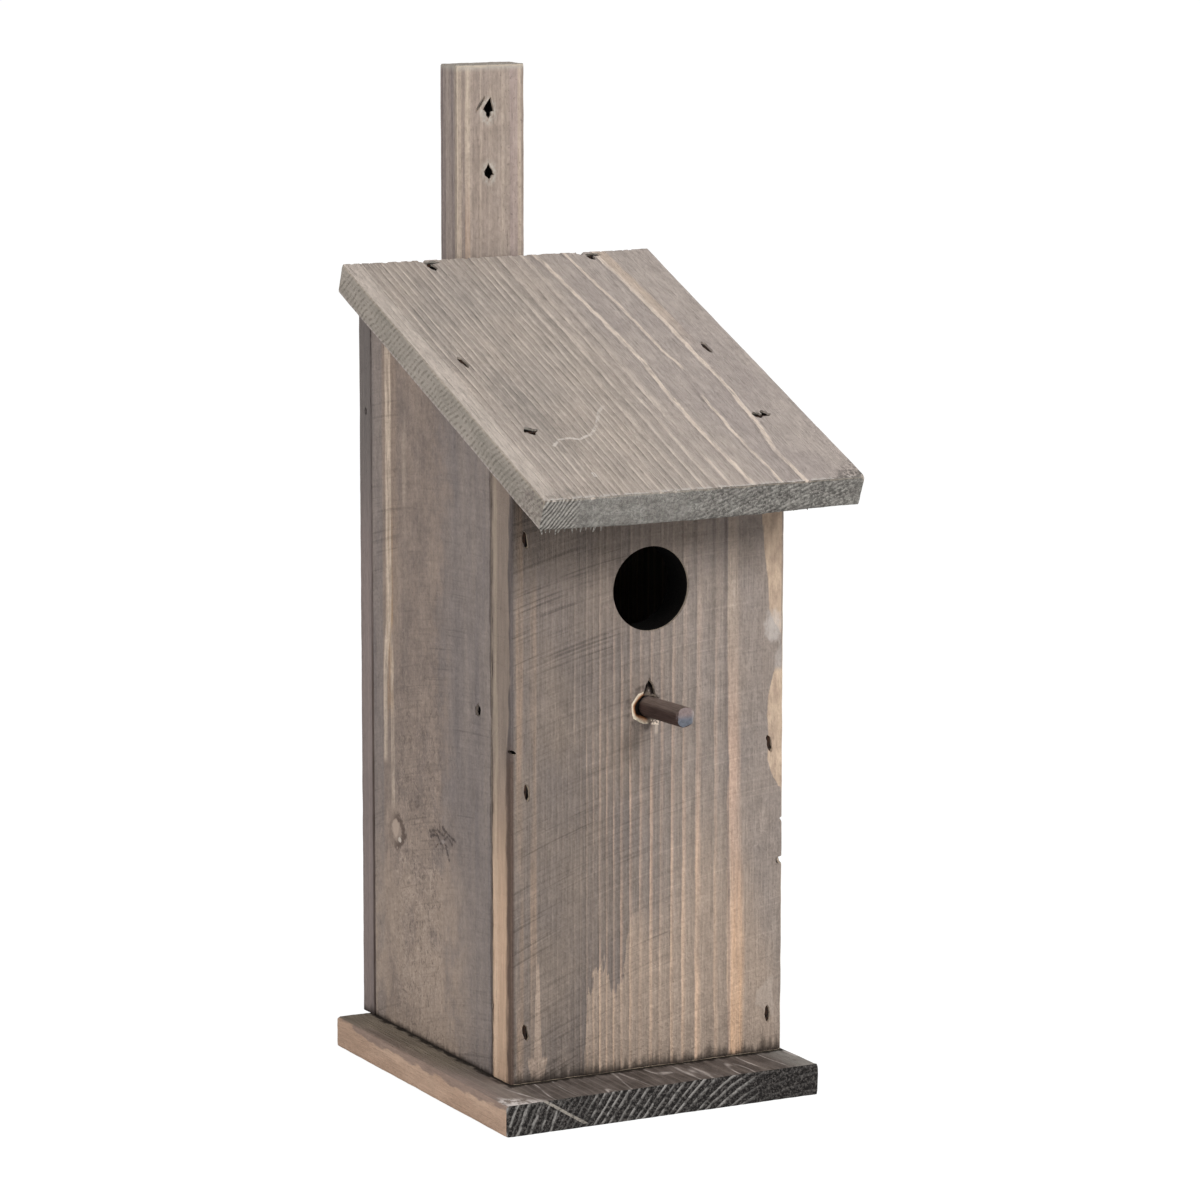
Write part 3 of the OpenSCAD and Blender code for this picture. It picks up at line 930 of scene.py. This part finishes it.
def right_board():
    w, height = plain_wood("right_wood", (RIGHT_HI.x, 0, 0), 90, 3, (-49.5, 0, 12), (54.5, 12, 300),
                           (-12, 50), (116, 107, 104), (134, 122, 114), (168, 151, 137))
    w.paint_foot_shade(0, 4)
    w.cuts()
    side_board("right_side_board_wood", "right_side_board", RIGHT_LO, RIGHT_HI, w.finish(height), 25, 1.1)


def back_board():
    obj = wall("back", BACK_LO, BACK_HI)
    round_edges(obj, 2, CUT_R, where=lambda middle: middle.y > BACK_HI.y - MM)
    age(obj, 1, ((2.2, 2.2, 50), 0.2, 31), ((12, 12, 9), 0.25, 32))
    rng = random.Random(12)
    cuts = []
    for node in ("back_staples_left", "back_staples_right"):
        for middle in staples_of(node):
            point = (middle.x, BACK_HI.y, middle.z)
            cuts.append(slit(on_face(point, (0, 1, 0), (rng.uniform(-0.1, 0.1), 0, 1)), rng))
    mark = on_face((BACK_LO.x, BACK_LO.y + 5 * MM, 252 * MM), (-1, 0, 0), (0, 0, 1))
    cuts.append(gouge(mark, 4, 3, 3, rng))
    carve(obj, [gathered(cuts)])
    w, height = plain_wood("back_wood", (0, BACK_HI.y, 0), 180, 4, (-58, 0, 12), (58, 11, 310), (20, 50),
                           (122, 114, 111), (142, 131, 126), (166, 151, 139))
    # The left edge, seen beside the side board: greener and darker high up, with a dark joint line
    edge = w.x.ramp(57.2, 57.8)
    w.coat(edge * 0.55, (150, 134, 130))
    w.coat(edge * w.z.ramp(180, 250) * 0.6, (100, 98, 95))
    joint = edge * w.y.ramp(9.2, 10.4) * w.z.ramp(200, 130, 0.3, 0.8)
    w.coat(joint, (78, 66, 60))
    w.paint_foot_shade(0, 4)
    w.cuts()
    fit("back_board_wood", obj, ["back_board"], w.finish(height))


# Roof

ROOF_YEARS = ((6, 0.9), (3.6, 0.7), (5.6, 1), (4.6, 0.9), (3.1, 1), (3.5, 1), (3.4, 0.95), (2.6, 0.75),
              (2.2, 0.9), (2.5, 0.7), (2.2, 0.9), (2.4, 0.75), (2.1, 0.95), (2.5, 0.7), (2.3, 0.85),
              (2.2, 1), (2.5, 0.7), (2.1, 0.9), (2.4, 0.8), (2.6, 1), (2.2, 0.75), (2.5, 0.9), (2.3, 0.8),
              (2.6, 1), (2.4, 0.75), (2.3, 0.9))

# Broad raised rings at the right of the roof, each as its places (up the slope, across) and half its width
ROOF_RIDGES = ((((-44, 41.6), (-20, 40.6), (-4, 43), (12, 44.4), (36, 45.2), (60, 44.6), (90, 44.4),
                 (120, 43), (142, 42)), 0.75),
               (((-44, 31.4), (-10, 30.6), (22, 31.4), (45, 34), (60, 32.6), (90, 32), (116, 30.6),
                 (142, 29)), 0.4),
               (((-44, 19.6), (-10, 18), (20, 18), (52, 20.4), (90, 19), (116, 17.6), (142, 16)), 0.7))


def roof_ridges(w):
    """Paints the broad rings, each with a painted shadow line on its left. Gives their height too."""
    wander = (w.spots(8, 9, 3, 0.6) - 0.5) * 2.4
    rise = 0
    for line, half in ROOF_RIDGES:
        off = w.x + wander - w.z.follow(line, 60)
        ridge = off.hill(0, half, 0.6) * w.cloud(2, 12, 3).ramp(0, 0.7, 0.4, 1)
        if half < 0.5:
            # This one is broken off for a way
            ridge = ridge * (1 - w.z.hill(34, 8, 4))
        if half > 0.7:
            tan = off.hill(2.6, 1.9, 1.4) * w.z.ramp(50, 105) * 0.6
            w.coat(tan, (198, 178, 160))
        # Painted shadow along the left of the ridge
        left = off.hill(-half - 1, 0.3, 0.6) * 0.35
        w.coat(left, (132, 122, 117))
        w.coat(ridge * 0.85, (216, 200, 186))
        rise = ridge * 0.3 + left * -0.3 + rise
    return rise


def roof_wood():
    middle = ON_SLOPE @ Vector((0, 0, ROOF_T / 2))
    # In this frame X is to the right, Y down through the board and Z up the slope
    w = Wood("roof_wood", middle, (ROOF_SLOPE - math.radians(90), 0, 0), 5, (-67, -6, SLOPE_START / MM),
             (67, 6, SLOPE_END / MM))
    rings, light = w.grow((58, 60), 62, ROOF_YEARS, slow=1.6, quick=0.75)
    uneven = w.cloud(4, 26, 4, 0.6).ramp(0.1, 0.9, 0.25, 1)
    narrow = w.x.ramp(15, 12)
    late = w.late(rings, 0.62) * light * uneven * narrow
    valley = w.valley(rings, 0.4) * w.cloud(3, 20, 4, 0.6).ramp(0.1, 0.9, 0.2, 1.2) * narrow
    band = w.cloud(10, 300)
    blotch = w.cloud(22, 40, 4)
    w.colour = w.blend(band, (158, 148, 140), (172, 160, 151))
    w.coat(blotch * 0.45, (178, 164, 152))
    right = w.blend(blotch, (162, 151, 146), (174, 163, 156))
    w.coat(w.x.ramp(-5, 35) * 0.75, right)
    w.coat(late * 0.8, (208, 194, 182))
    w.shade(1 - valley * 0.2)
    ridges = roof_ridges(w)
    rim = w.x.ramp(-58.6, -60.6) * w.y.ramp(-4.5, -5.4)
    w.coat(rim * 0.75, (192, 180, 170))
    w.shade(w.grain(0.04, 0.09, 0.06, (1.1, 3), 0.085))
    dash = w.spots(1.1, 7, 2).ramp(0.38, 0.3)
    w.shade(1 - dash * 0.16)
    # Dirty patches by the left front corner, a crooked pale scratch and a pale spot
    speck = w.cloud(2.5, 5, 4, 0.7)
    dirt = w.near(((-45, 40), (-40, -6))).ramp(12, 3) * speck * 0.4
    dirt = w.most(dirt, w.near(((-64, -44), (-56, -41))).ramp(9, 2) * speck * 0.8)
    w.coat(dirt, (124, 117, 110))
    path = ((-45, -6), (-41, -1.6), (-36, -1), (-33, -2.4), (-26, 1), (-21, 7), (-16, 16), (-12, 20.4))
    scratch = w.near(path).ramp(0.9, 0.35)
    broken = w.cloud(2.6, 3.4).ramp(0.15, 0.6, 0.15, 1)
    scratch = scratch * broken * w.z.ramp(0, 20, 1, 0.6)
    spot = w.near(((-39, -29), (-39, -27))).ramp(1, 0.5)
    w.coat(w.most(scratch, spot) * 0.75, (208, 198, 190))
    # Worn front edge, and the rough right-hand corner
    worn = w.z.ramp(-41.2, -43.2) * w.cloud(3, 3, 3).ramp(0.3, 0.6)
    w.coat(worn * 0.5, (196, 190, 184))
    rough = w.spots(1.4, 1.8, 3, 0.7).ramp(0.44, 0.56)
    corner = (w.x - w.z).ramp(92, 101) * rough
    w.coat(corner * 0.85, (100, 95, 90))
    roof_left_edge(w)
    w.coat(w.end, roof_end(w))
    w.cuts(0.2, (0.75, 1))
    height = late * 0.25 + valley * -0.25 + w.rough_height * 1.8 + ridges
    return w.finish(height)


def roof_left_edge(w):
    """Long left edge, with short slanting strokes that the saw left across it and a pale lower arris."""
    side = w.x.ramp(-66.2, -66.8) * (1 - w.end)
    shade = w.cloud(9, 30, 3)
    edge = w.blend(shade, (148, 141, 131), (168, 159, 149))
    run = w.z + w.y * -0.8 + w.spots(9, 20, 2) * 5
    teeth = run.wave(2.9).ramp(-0.5, 0.8)
    parts = w.seeded.noise((2.4, 2.2, 3.4), 3, 0.65).ramp(0.42, 0.6)
    edge = w.blend(teeth * parts * 0.55, edge, (104, 96, 88))
    edge = w.blend((1 - teeth) * parts * 0.3, edge, (192, 182, 170))
    lower = w.y.ramp(4, 5.4) * w.cloud(2, 9).ramp(0, 0.6, 0.3, 1)
    edge = w.blend(lower * (1 - teeth * 0.7) * 0.8, edge, (194, 181, 176))
    front = w.z.ramp(-12, -34) * w.spots(1.6, 2, 3, 0.7).ramp(0.44, 0.6)
    edge = w.blend(front * 0.55, edge, (104, 92, 90))
    w.coat(side * 0.95, edge)


def roof_end(w):
    """Sawn end of the roof: grey, with open pores in rows, and rings that show on the left."""
    bent = w.x + w.y * 0.62 + w.spots(9, 9, 2) * 2.4
    lines = bent.wave(1.7)
    left = w.x.ramp(-50, -55) * w.cloud(2, 4, 3).ramp(0, 0.6, 0.55, 1)
    patches = w.seeded.noise((7, 4, 9), 3).ramp(0.35, 0.65, smooth=False)
    ends = w.blend(patches, (124, 120, 115), (142, 139, 133))
    ends = w.blend(left * lines.ramp(-0.3, 0.8) * 0.8, ends, (166, 161, 154))
    ends = w.blend(left * lines.ramp(0, -0.8) * 0.9, ends, (80, 76, 72))
    pores = w.seeded.noise((1.5, 1.4, 4), 2, 0.7, 0.6)
    open_wood = w.x.ramp(-14, 8) * w.x.ramp(64, 58, 0.4, 1)
    depth = 0.22 + open_wood * 0.2
    gain = 1 + (pores.ramp(0.4, 0.6, smooth=False) - 0.5) * 2 * depth
    rows = (w.y + w.x * 0.45 + pores * 2).wave(1.9)
    ends = ends.scaled(gain * (1 - rows.ramp(-0.5, 0.8) * open_wood * 0.3))
    return w.blend(w.y.ramp(-4.6, -5.6) * open_wood * 0.5, ends, (78, 74, 70))


def roof_board():
    rng = random.Random(21)
    obj = blank("roof", (ROOF_LO.x, SLOPE_START, 0), (ROOF_HI.x, SLOPE_END, ROOF_T))
    round_edges(obj, 2, CORNER_R, segments=4, where=lambda middle: middle.x > 0 and middle.y < 0)
    round_edges(obj, 1, 0.6 * EDGE_R, segments=2)
    age(obj, 0.85, ((2.2, 50, 2.2), 0.25, 41), ((9, 12, 9), 0.35, 42))
    # The lower front edge hangs down a little, most in the middle
    for vertex in obj.data.vertices:
        near = max(0, 1 - (vertex.co.y - SLOPE_START) / (5 * MM)) * max(0, 1 - vertex.co.z / (8 * MM))
        across = (vertex.co.x + 8 * MM) / (62 * MM)
        vertex.co.z -= 1.3 * MM * near * max(0, 1 - across * across)
    crowns, torn = roof_staple_cutters(rng)
    # Notches in the upper back edge beside the staples, and the right front corner knocked blunt
    notches = []
    for x in (-33.5 * MM, 36 * MM):
        notch = on_face((x, SLOPE_END, ROOF_T), (0, 0.6, 1), (1, 0, 0))
        notches.append(gouge(notch, 4.6, 5, 2.4, rng, corners=5))
    blunt = on_face((ROOF_HI.x - 0.5 * MM, SLOPE_START + 0.5 * MM, ROOF_T), (1, -1, 1), (1, 1, 0))
    notches.append(gouge(blunt, 9, 7, 1, rng))
    carve(obj, [gathered(crowns), gathered(torn), gathered(notches), roof_chips(rng)])
    carve(obj, [gathered(roof_fibres(rng))], operation="UNION")
    bake_place(obj, ON_SLOPE)
    fit("roof_board_wood", obj, ["roof_board"], roof_wood())


def roof_staple_cutters(rng):
    """Slits over the roof's staples, and the holes torn beside them, in the roof's flat frame."""
    up = Vector((0, 0, 1))
    crowns = []
    for x in (-52 * MM, 52 * MM):
        face = on_face((x, ROOF_SIDE_UP, ROOF_T), up, (rng.uniform(-0.1, 0.1), 1, 0))
        crowns.append(slit(face, rng, 1.4 * CROWN_W))
    for x in (-49 * MM, 49 * MM):
        crowns.append(slit(on_face((x, ROOF_FRONT_UP, ROOF_T), up, (1, 0.08, 0)), rng))
    back = (ROOF_BACK_Y - FRONT_LO.y + ROOF_T * math.sin(ROOF_SLOPE)) / math.cos(ROOF_SLOPE)
    for x in (-30 * MM, 41 * MM):
        crowns.append(slit(on_face((x, back, ROOF_T), up, (1, 0, 0)), rng))
    # Holes torn beside the staples: where along the roof, and how long and wide
    torn = []
    places = ((-31.2, 135.2, 7, 3.8), (39.2, 136.6, 5.4, 3.4), (-49.3, 5.9, 7.5, 4.4),
              (46.6, 6.2, 5.6, 4.2), (50.2, 7.4, 5, 3.8))
    for x, up_slope, length, width in places:
        place = on_face((x * MM, up_slope * MM, ROOF_T), up, (0.2, -1, 0))
        torn.append(gouge(place, length, width, 3.4, rng, corners=6, narrow=0.85))
    return crowns, torn


def roof_chips(rng):
    """Small chips broken from the front and back edges of the roof's upper face."""
    chips = []
    for y, out in ((SLOPE_START, (0, -1, 1)), (SLOPE_END, (0, 1, 1))):
        x = ROOF_LO.x + 3 * MM
        while x < ROOF_HI.x - 6 * MM:
            length = rng.uniform(1.2, 4)
            face = on_face((x + length * MM / 2, y, ROOF_T), out, (1, 0, 0))
            chips.append(gouge(face, length, rng.uniform(1.6, 3.4), rng.uniform(0.2, 0.75), rng, corners=7))
            x += (length + rng.uniform(0.9, 5)) * MM
    return gathered(chips)


def roof_fibres(rng):
    """Torn fibres that hang from the lower front edge of the roof, most of them at the left."""
    fibres = []
    x = ROOF_LO.x + 1.2 * MM
    while x < ROOF_HI.x - 20 * MM:
        thick_row = x < -40 * MM
        long = rng.uniform(1.2, 3) * MM if thick_row else rng.uniform(0.5, 1.1) * MM
        thick = rng.uniform(0.4, 0.7) * MM
        fibre = primitive(bpy.ops.mesh.primitive_cone_add, "fibre", vertices=6, radius1=thick,
                          radius2=0.25 * thick, depth=long + MM, location=(0, 0, (long + MM) / 2))
        root = (x, SLOPE_START + rng.uniform(0.7, 1) * MM, 0.8 * MM)
        way = (rng.uniform(-0.3, 0.45), rng.uniform(-0.1, 0.15), -1)
        fibres.append(bake_place(fibre, on_face(root, way, (1, 0, 0))))
        x += rng.uniform(1.7, 2.4) * MM if thick_row else rng.uniform(2.5, 7) * MM
    return fibres


# Floor

FLOOR_YEARS = ((3.4, 0.9), (2.6, 0.6), (3.8, 1), (3, 0.7), (2.4, 0.9), (3.6, 0.6), (3.1, 1), (2.5, 0.8),
               (3.3, 0.9), (2.7, 0.6), (3, 1), (2.4, 0.7), (3.4, 0.9), (2.8, 0.6), (3.2, 0.8), (2.6, 1))


def floor_wood():
    middle = Vector((0, 0, (FLOOR_LO.z + FLOOR_HI.z) / 2))
    # In this frame X is to the right, Y down and Z back
    w = Wood("floor_wood", middle, (math.radians(-90), 0, 0), 6, (-72.5, -6, -90), (61, 6, 59.5))
    rings, light = w.grow((60, 60), 60, FLOOR_YEARS, slow=2, quick=0.55)
    late = w.late(rings, 0.62) * light
    blotch = w.cloud(15, 28, 4)
    front = w.z.ramp(-62, -68)
    w.colour = w.blend(blotch, (126, 115, 102), (146, 134, 119))
    left_front = w.z.ramp(-20, -50) * w.x.ramp(-57, -60)
    w.coat(left_front * 0.6, (122, 110, 106))
    dark = w.blend(w.cloud(6, 12, 3), (70, 62, 59), (100, 91, 87))
    w.coat(front * w.x.ramp(-64, -54) * 0.92, dark)
    w.coat(w.x.ramp(44, 57) * w.cloud(4, 8, 3).ramp(0, 0.6, 0.4, 0.8), (142, 138, 132))
    # Light streaks on top, far apart
    apart = w.join(w.x, w.z * 0.02, 3).noise((10, 1, 1), 0)
    streak = abs(apart - 0.5).ramp(0.03, 0) * w.cloud(3, 12)
    w.coat(streak * front * 0.85, (194, 184, 178))
    w.coat(late * 0.15, (170, 157, 146))
    # Painted shade round the foot of the walls
    around = w.most(abs(w.x) - 58, -65.5 - w.z)
    foot_shade = (around + (w.cloud(2.5, 6) - 0.5) * 2).ramp(0.3, 2.2, 1, 0)
    w.coat(foot_shade * 0.9, (38, 31, 27))
    # The left front corner, worn pale
    dx = w.x + 69
    dz = w.z + 88
    pale = (abs(dx) * 0.06 + dz * 0.08).ramp(1.1, 0.4)
    pale = pale * w.spots(2.6, 4, 3, 0.7).ramp(0.4, 0.56)
    w.coat(pale * 0.9, (212, 202, 197))
    # Left edge: tan, with stain that ran over it from the top
    outer = w.x.ramp(-65, -71) * w.z.ramp(56, 30) * w.z.ramp(-84, -74)
    w.coat(outer * 0.5, (144, 125, 117))
    left = w.x.ramp(-71.3, -72.1)
    side = w.blend(w.cloud(12, 50), (178, 150, 130), (195, 167, 146))
    over = w.z.ramp(58, 26) * w.z.ramp(-86, -70, 0.5, 1) * 2.6
    down = w.y + 6 + (w.cloud(3, 9, 3) - 0.5) * 1.6
    side = w.blend((down - over).ramp(0.5, -0.5) * 0.8, side, (138, 120, 111))
    w.coat(left, side)
    w.shade(w.grain(0.03, 0.07, 0.05))
    w.coat(w.end, floor_end(w, rings, light))
    height = late * 0.08 + w.rough_height * 1.5
    return w.finish(height)


def floor_end(w, rings, light):
    """Sawn end of the floor board: charcoal, with light rings and open pores."""
    shown = w.x.ramp(-40, -33, 0.25, 1) * w.x.ramp(36, 26, 0.15, 1)
    broken = w.cloud(2.6, 10, 3).ramp(0, 0.7, 0.15, 1)
    late = w.late(rings, 0.6) * light * shown * broken
    pores = w.spots(1.2, 4, 3, 0.8)
    ground = w.blend(pores.ramp(0.46, 0.64), (27, 25, 24), (86, 82, 79))
    # A few steep rings at the left end
    lean = w.x + w.y * 0.5 + w.spots(9, 9, 2) * 4
    steep = lean.wave(4.6).ramp(0.55, 0.95)
    steep = steep * w.x.ramp(-48, -52) * broken
    ends = w.blend(w.most(late, steep * 0.8) * 0.85, ground, (158, 154, 150))
    # A pale crack near the left
    run = w.x + w.y * -1.6
    crack = run.hill(-46.5, 0.7, 0.6) * w.y.ramp(5, 4)
    crack = crack * w.cloud(1.5, 1.5).ramp(0, 0.5, 0.4, 1)
    return w.blend(crack * 0.7, ends, (170, 162, 152))


def floor_board():
    obj = blank("floor", FLOOR_LO, FLOOR_HI)
    round_edges(obj, 2, CORNER_R, segments=4, where=lambda middle: middle.x > 0 and middle.y < 0)
    round_edges(obj, 1, 1.9 * EDGE_R, segments=5, where=lambda middle: middle.x > 0)
    round_edges(obj, 1, 0.7 * EDGE_R, where=lambda middle: middle.x < 0)
    age(obj, 0.8, ((2.2, 50, 2.2), 0.22, 51), ((10, 14, 10), 0.35, 52))
    for vertex in obj.data.vertices:
        vertex.co.z = max(vertex.co.z, FLOOR_LO.z)
    fit("floor_board_wood", obj, ["floor_board"], floor_wood())


# Batten

BATTEN_YEARS = ((3, 0.7), (2.6, 0.9), (3.4, 0.5), (2.4, 1), (3.1, 0.6), (2.7, 0.8), (2.3, 0.5), (2.9, 0.9))


def batten_wood():
    # X is measured from the batten's left edge, Y in from its front
    w = Wood("batten_wood", (BATTEN_LO.x, BATTEN_LO.y, 0), (0, 0, 0), 7, (0, 0, 12), (29.5, 15, 384))
    rings, light = w.grow((46, 42), 44, BATTEN_YEARS, slow=1.2, quick=0.4)
    late = w.late(rings, 0.6) * light
    band = w.cloud(5, 300)
    w.colour = w.blend(band, (142, 128, 118), (156, 142, 131))
    w.coat(w.cloud(9, 20, 4) * 0.4, (160, 146, 138))
    w.coat(late * 0.45, (180, 164, 150))
    # Stripes by the left corner, on the front and on the side
    front = w.y.ramp(0.9, 0.5)
    low = w.z.ramp(345, 320)
    tan = w.x.hill(0.7, 0.9, 0.6) * w.y.ramp(2.4, 1.6)
    dark = w.x.hill(2.6, 0.8, 0.6) * front * w.cloud(2, 60, 2, spread=0.3)
    w.coat(dark * low.ramp(0, 1, 0.6, 1), (100, 89, 86))
    cream = w.x.hill(4.6, 0.7, 0.7) * front * w.cloud(1.5, 30, 3).ramp(0, 1, 0.4, 1)
    w.coat(cream * 0.75, w.blend(low, (182, 166, 150), (180, 154, 133)))
    pink = w.x.hill(24.8, 1.4, 0.8) * front
    w.coat(pink * 0.4, (158, 140, 138))
    right = w.x.hill(27.2, 0.5, 0.5) * front
    w.coat(right * 0.5, (188, 170, 153))
    side = w.x.ramp(0.9, 0.3)
    flank = w.blend(w.cloud(1.7, 200, 3), (134, 122, 119), (170, 155, 145))
    w.coat(side, flank)
    w.coat(tan * 0.6, (176, 160, 144))
    w.coat(w.x.ramp(28.1, 28.9) * 0.4, (124, 112, 104))
    w.shade(w.grain(0.04, 0.09, 0.08, (1.2, 2.2), 0.08))
    specks = w.spots(1.1, 1.5, 2, 0.7).ramp(0.36, 0.31)
    w.coat(specks * w.x.ramp(15, 21) * 0.5, (100, 86, 82))
    # Paler wood round the screw holes and at the top
    for x, z, size in ((13.6, 366, 3.2), (13.9, 342, 2.8)):
        dx = w.x - x
        dz = (w.z - z) * 0.7
        away = w.distance(dx, dz)
        halo = away.ramp(size + 1.6, size - 0.6) * w.cloud(1.4, 1.8, 3)
        w.coat(halo * 0.6, (192, 187, 177))
    w.coat(w.z.ramp(381, 383.6) * 0.6, (180, 174, 163))
    w.cuts(0.4, (0.7, 1.1))
    height = late * 0.12 + w.rough_height * 1.5
    return w.finish(height)


def batten():
    rng = random.Random(31)
    obj = blank("batten", BATTEN_LO, BATTEN_HI)
    round_edges(obj, 2, 0.7 * EDGE_R)
    round_edges(obj, 0, CUT_R, segments=2)
    age(obj, 0.75, ((2, 2, 50), 0.2, 61), ((8, 8, 10), 0.25, 62))
    middle_x = (BATTEN_LO.x + BATTEN_HI.x) / 2 - 1 * MM
    drills = []
    tears = []
    drips = []
    for drop, size, aside in ((17 * MM, 1, 0.1), (42 * MM, 0.75, 0.4)):
        centre = Vector((middle_x, BATTEN_LO.y, BATTEN_HI.z - drop))
        drills.append(drill(on_face(centre, (0, -1, 0), (1, 0, 0)), 2 * MM, 18 * MM, sides=9))
        tear = on_face(centre + Vector((aside, 0, 0.8 * size)) * MM, (0, -1, 0), (0.06, 0, 1))
        tears.append(gouge(tear, 9 * size, 7.6 * size, 3, rng, corners=3, narrow=0.7))
        drip = on_face(centre + Vector((aside, 0, -2.2 * size)) * MM, (0, -1, 0), (0, 0, -1))
        drips.append(gouge(drip, 3.6 * size, 2.8 * size, 3, rng, corners=5, narrow=0.8))
    # Scratch where the driver slipped beside the upper hole
    slip = on_face((middle_x - 3.4 * MM, BATTEN_LO.y, BATTEN_HI.z - 15.2 * MM), (0, -1, 0), (0.62, 0, 1))
    scratch = gouge(slip, 9, 1.9, 0.9, rng)
    carve(obj, [gathered(drills), gathered(tears), gathered(drips), scratch])
    fit("hanging_batten_wood", obj, ["hanging_batten"], batten_wood())


# Perch

def perch_wood():
    # X is to the right, Y up and Z out along the perch
    w = Wood("perch_wood", PERCH, (math.radians(90) - PERCH_TILT, 0, 0), 8, (-9, -9, -30), (9, 9, 30))
    fibre = w.cloud(0.6, 9, 4, 0.65)
    # Painted light: the perch's upper side is painted lighter and its underside darker, as if lit from
    # above
    w.colour = w.blend(w.y.ramp(0.6, 3), (62, 48, 44), (108, 94, 87))
    w.shade(0.7 + fibre * 0.6)
    ends = w.blend(w.y.ramp(-1.2, 1.6), (92, 95, 103), (124, 110, 108))
    ends = ends.scaled(0.85 + w.cloud(1, 1, 3) * 0.3)
    rim = w.x.ramp(2.2, 3.2) * w.z.ramp(PERCH_OUT / MM - 1.5, PERCH_OUT / MM - 0.8)
    ends = w.blend(rim * 0.5, ends, (160, 152, 148))
    w.coat(w.end, ends)
    return w.finish(fibre * 0.12, 0.8)


def perch():
    length = DOWEL_HI.y - DOWEL_LO.y
    obj = primitive(bpy.ops.mesh.primitive_cylinder_add, "perch", vertices=11, radius=PERCH_D / 2,
                    depth=length, location=(0, 0, PERCH_OUT - length / 2))
    # The end is whittled: a facet on the left and the rim taken off below and on the right
    for x, y, normal in ((-3, 0, (-1, 0.1, 0.75)), (3.3, 0, (1, -0.2, 0.7)), (0, -3.3, (0.3, -1, 0.7)),
                         (0, 3.6, (0.1, 1, 0.6))):
        saw_off(obj, (x * MM, y * MM, PERCH_OUT), normal)
    age(obj, 0.28, ((1.2, 1.2, 14), 0.25, 71))
    bake_place(obj, ON_PERCH)
    fit("perch_dowel_wood", obj, ["perch_dowel"], perch_wood())


# Staples

def dress_staples():
    """Dark, slightly rusty wire on every staple of the CAD model."""
    f = Finish(bpy.data.materials.new("staple_wire"))
    rust = f.add("TexCoord", {}, out=3).noise((0.0015, 0.0015, 0.0015), 3)
    f.colour = f.blend(rust.ramp(0.35, 0.65), (30, 26, 25), (64, 46, 36))
    steel = f.finish(rust * 0.05, rust.ramp(0.3, 0.7, 0.45, 0.8), metallic=0.6)
    for name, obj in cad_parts.items():
        if "staples" in name:
            obj.data.materials.clear()
            obj.data.materials.append(steel)


# Stage, light and camera

WHITE = (1, 1, 1, 1)

# Camera of the photograph: its place, its turns in degrees, and its lens and film in mm
CAMERA_PLACE = (-0.8727, -1.6936, 0.5095)
CAMERA_TURNS = ((-27.6234, "Z"), (90 - 9.7466, "X"), (0.0511, "Z"))
CAMERA_LENS = 150.54
CAMERA_FILM = 36


def stage_floor():
    """Pale floor that looks white to the camera but keeps the box's soft shadow."""
    ground = primitive(bpy.ops.mesh.primitive_plane_add, "stage_floor", size=24,
                       location=(0, 0, -0.05 * MM))
    f = Finish(bpy.data.materials.new("stage_floor"))
    seen = f.most(f.ray("Camera"), f.most(f.ray("Glossy"), f.ray("Transmission")))
    matt = f.add("BsdfDiffuse", {"Color": (0.82, 0.82, 0.82, 1)})
    white = f.add("Emission", {"Color": WHITE, "Strength": 1.12})
    ground.data.materials.append(f.close(f.add("MixShader", {0: seen * 0.85, 1: matt, 2: white})))


def studio_world():
    """Even light from all round, seen as white."""
    f = Finish(bpy.data.worlds.new("studio"))
    bpy.context.scene.world = f.holder
    dim, bright = [f.add("Background", {"Color": WHITE, "Strength": strength}) for strength in (0.55, 1)]
    seen = f.most(f.ray("Camera"), f.ray("Transmission"))
    f.node("OutputWorld", {0: f.add("MixShader", {0: seen, 1: dim, 2: bright})})


def softbox(name, place, size, power):
    """Square lamp aimed at the middle of the box."""
    lamp = bpy.data.lights.new(name, "AREA")
    lamp.size = size
    lamp.energy = power
    obj = linked(name, lamp)
    obj.location = place
    aim = Vector((0, 0, 0.19)) - Vector(place)
    obj.rotation_euler = aim.to_track_quat("-Z", "Y").to_euler()
    obj.visible_camera = False


def camera():
    """A long lens, ahead and to the left, looking a little down."""
    data = bpy.data.cameras.new("camera")
    data.sensor_width = CAMERA_FILM
    data.lens = CAMERA_LENS
    obj = linked("camera", data)
    obj.matrix_world = Matrix.Translation(CAMERA_PLACE)
    for degrees, axis in CAMERA_TURNS:
        obj.matrix_world = obj.matrix_world @ Matrix.Rotation(math.radians(degrees), 4, axis)
    bpy.context.scene.camera = obj


front_board()
side_board("left_side_board_wood", "left_side_board", LEFT_LO, LEFT_HI, left_wood(), 22, 0.9)
right_board()
back_board()
roof_board()
floor_board()
batten()
perch()
dress_staples()
stage_floor()
studio_world()
softbox("key_light", (0.52, -1.58, 1.1), size=0.6, power=25)
softbox("left_light", (-1.8, -0.7, 0.8), size=1.2, power=14.5)
camera()
bpy.context.scene.view_settings.view_transform = "Standard"
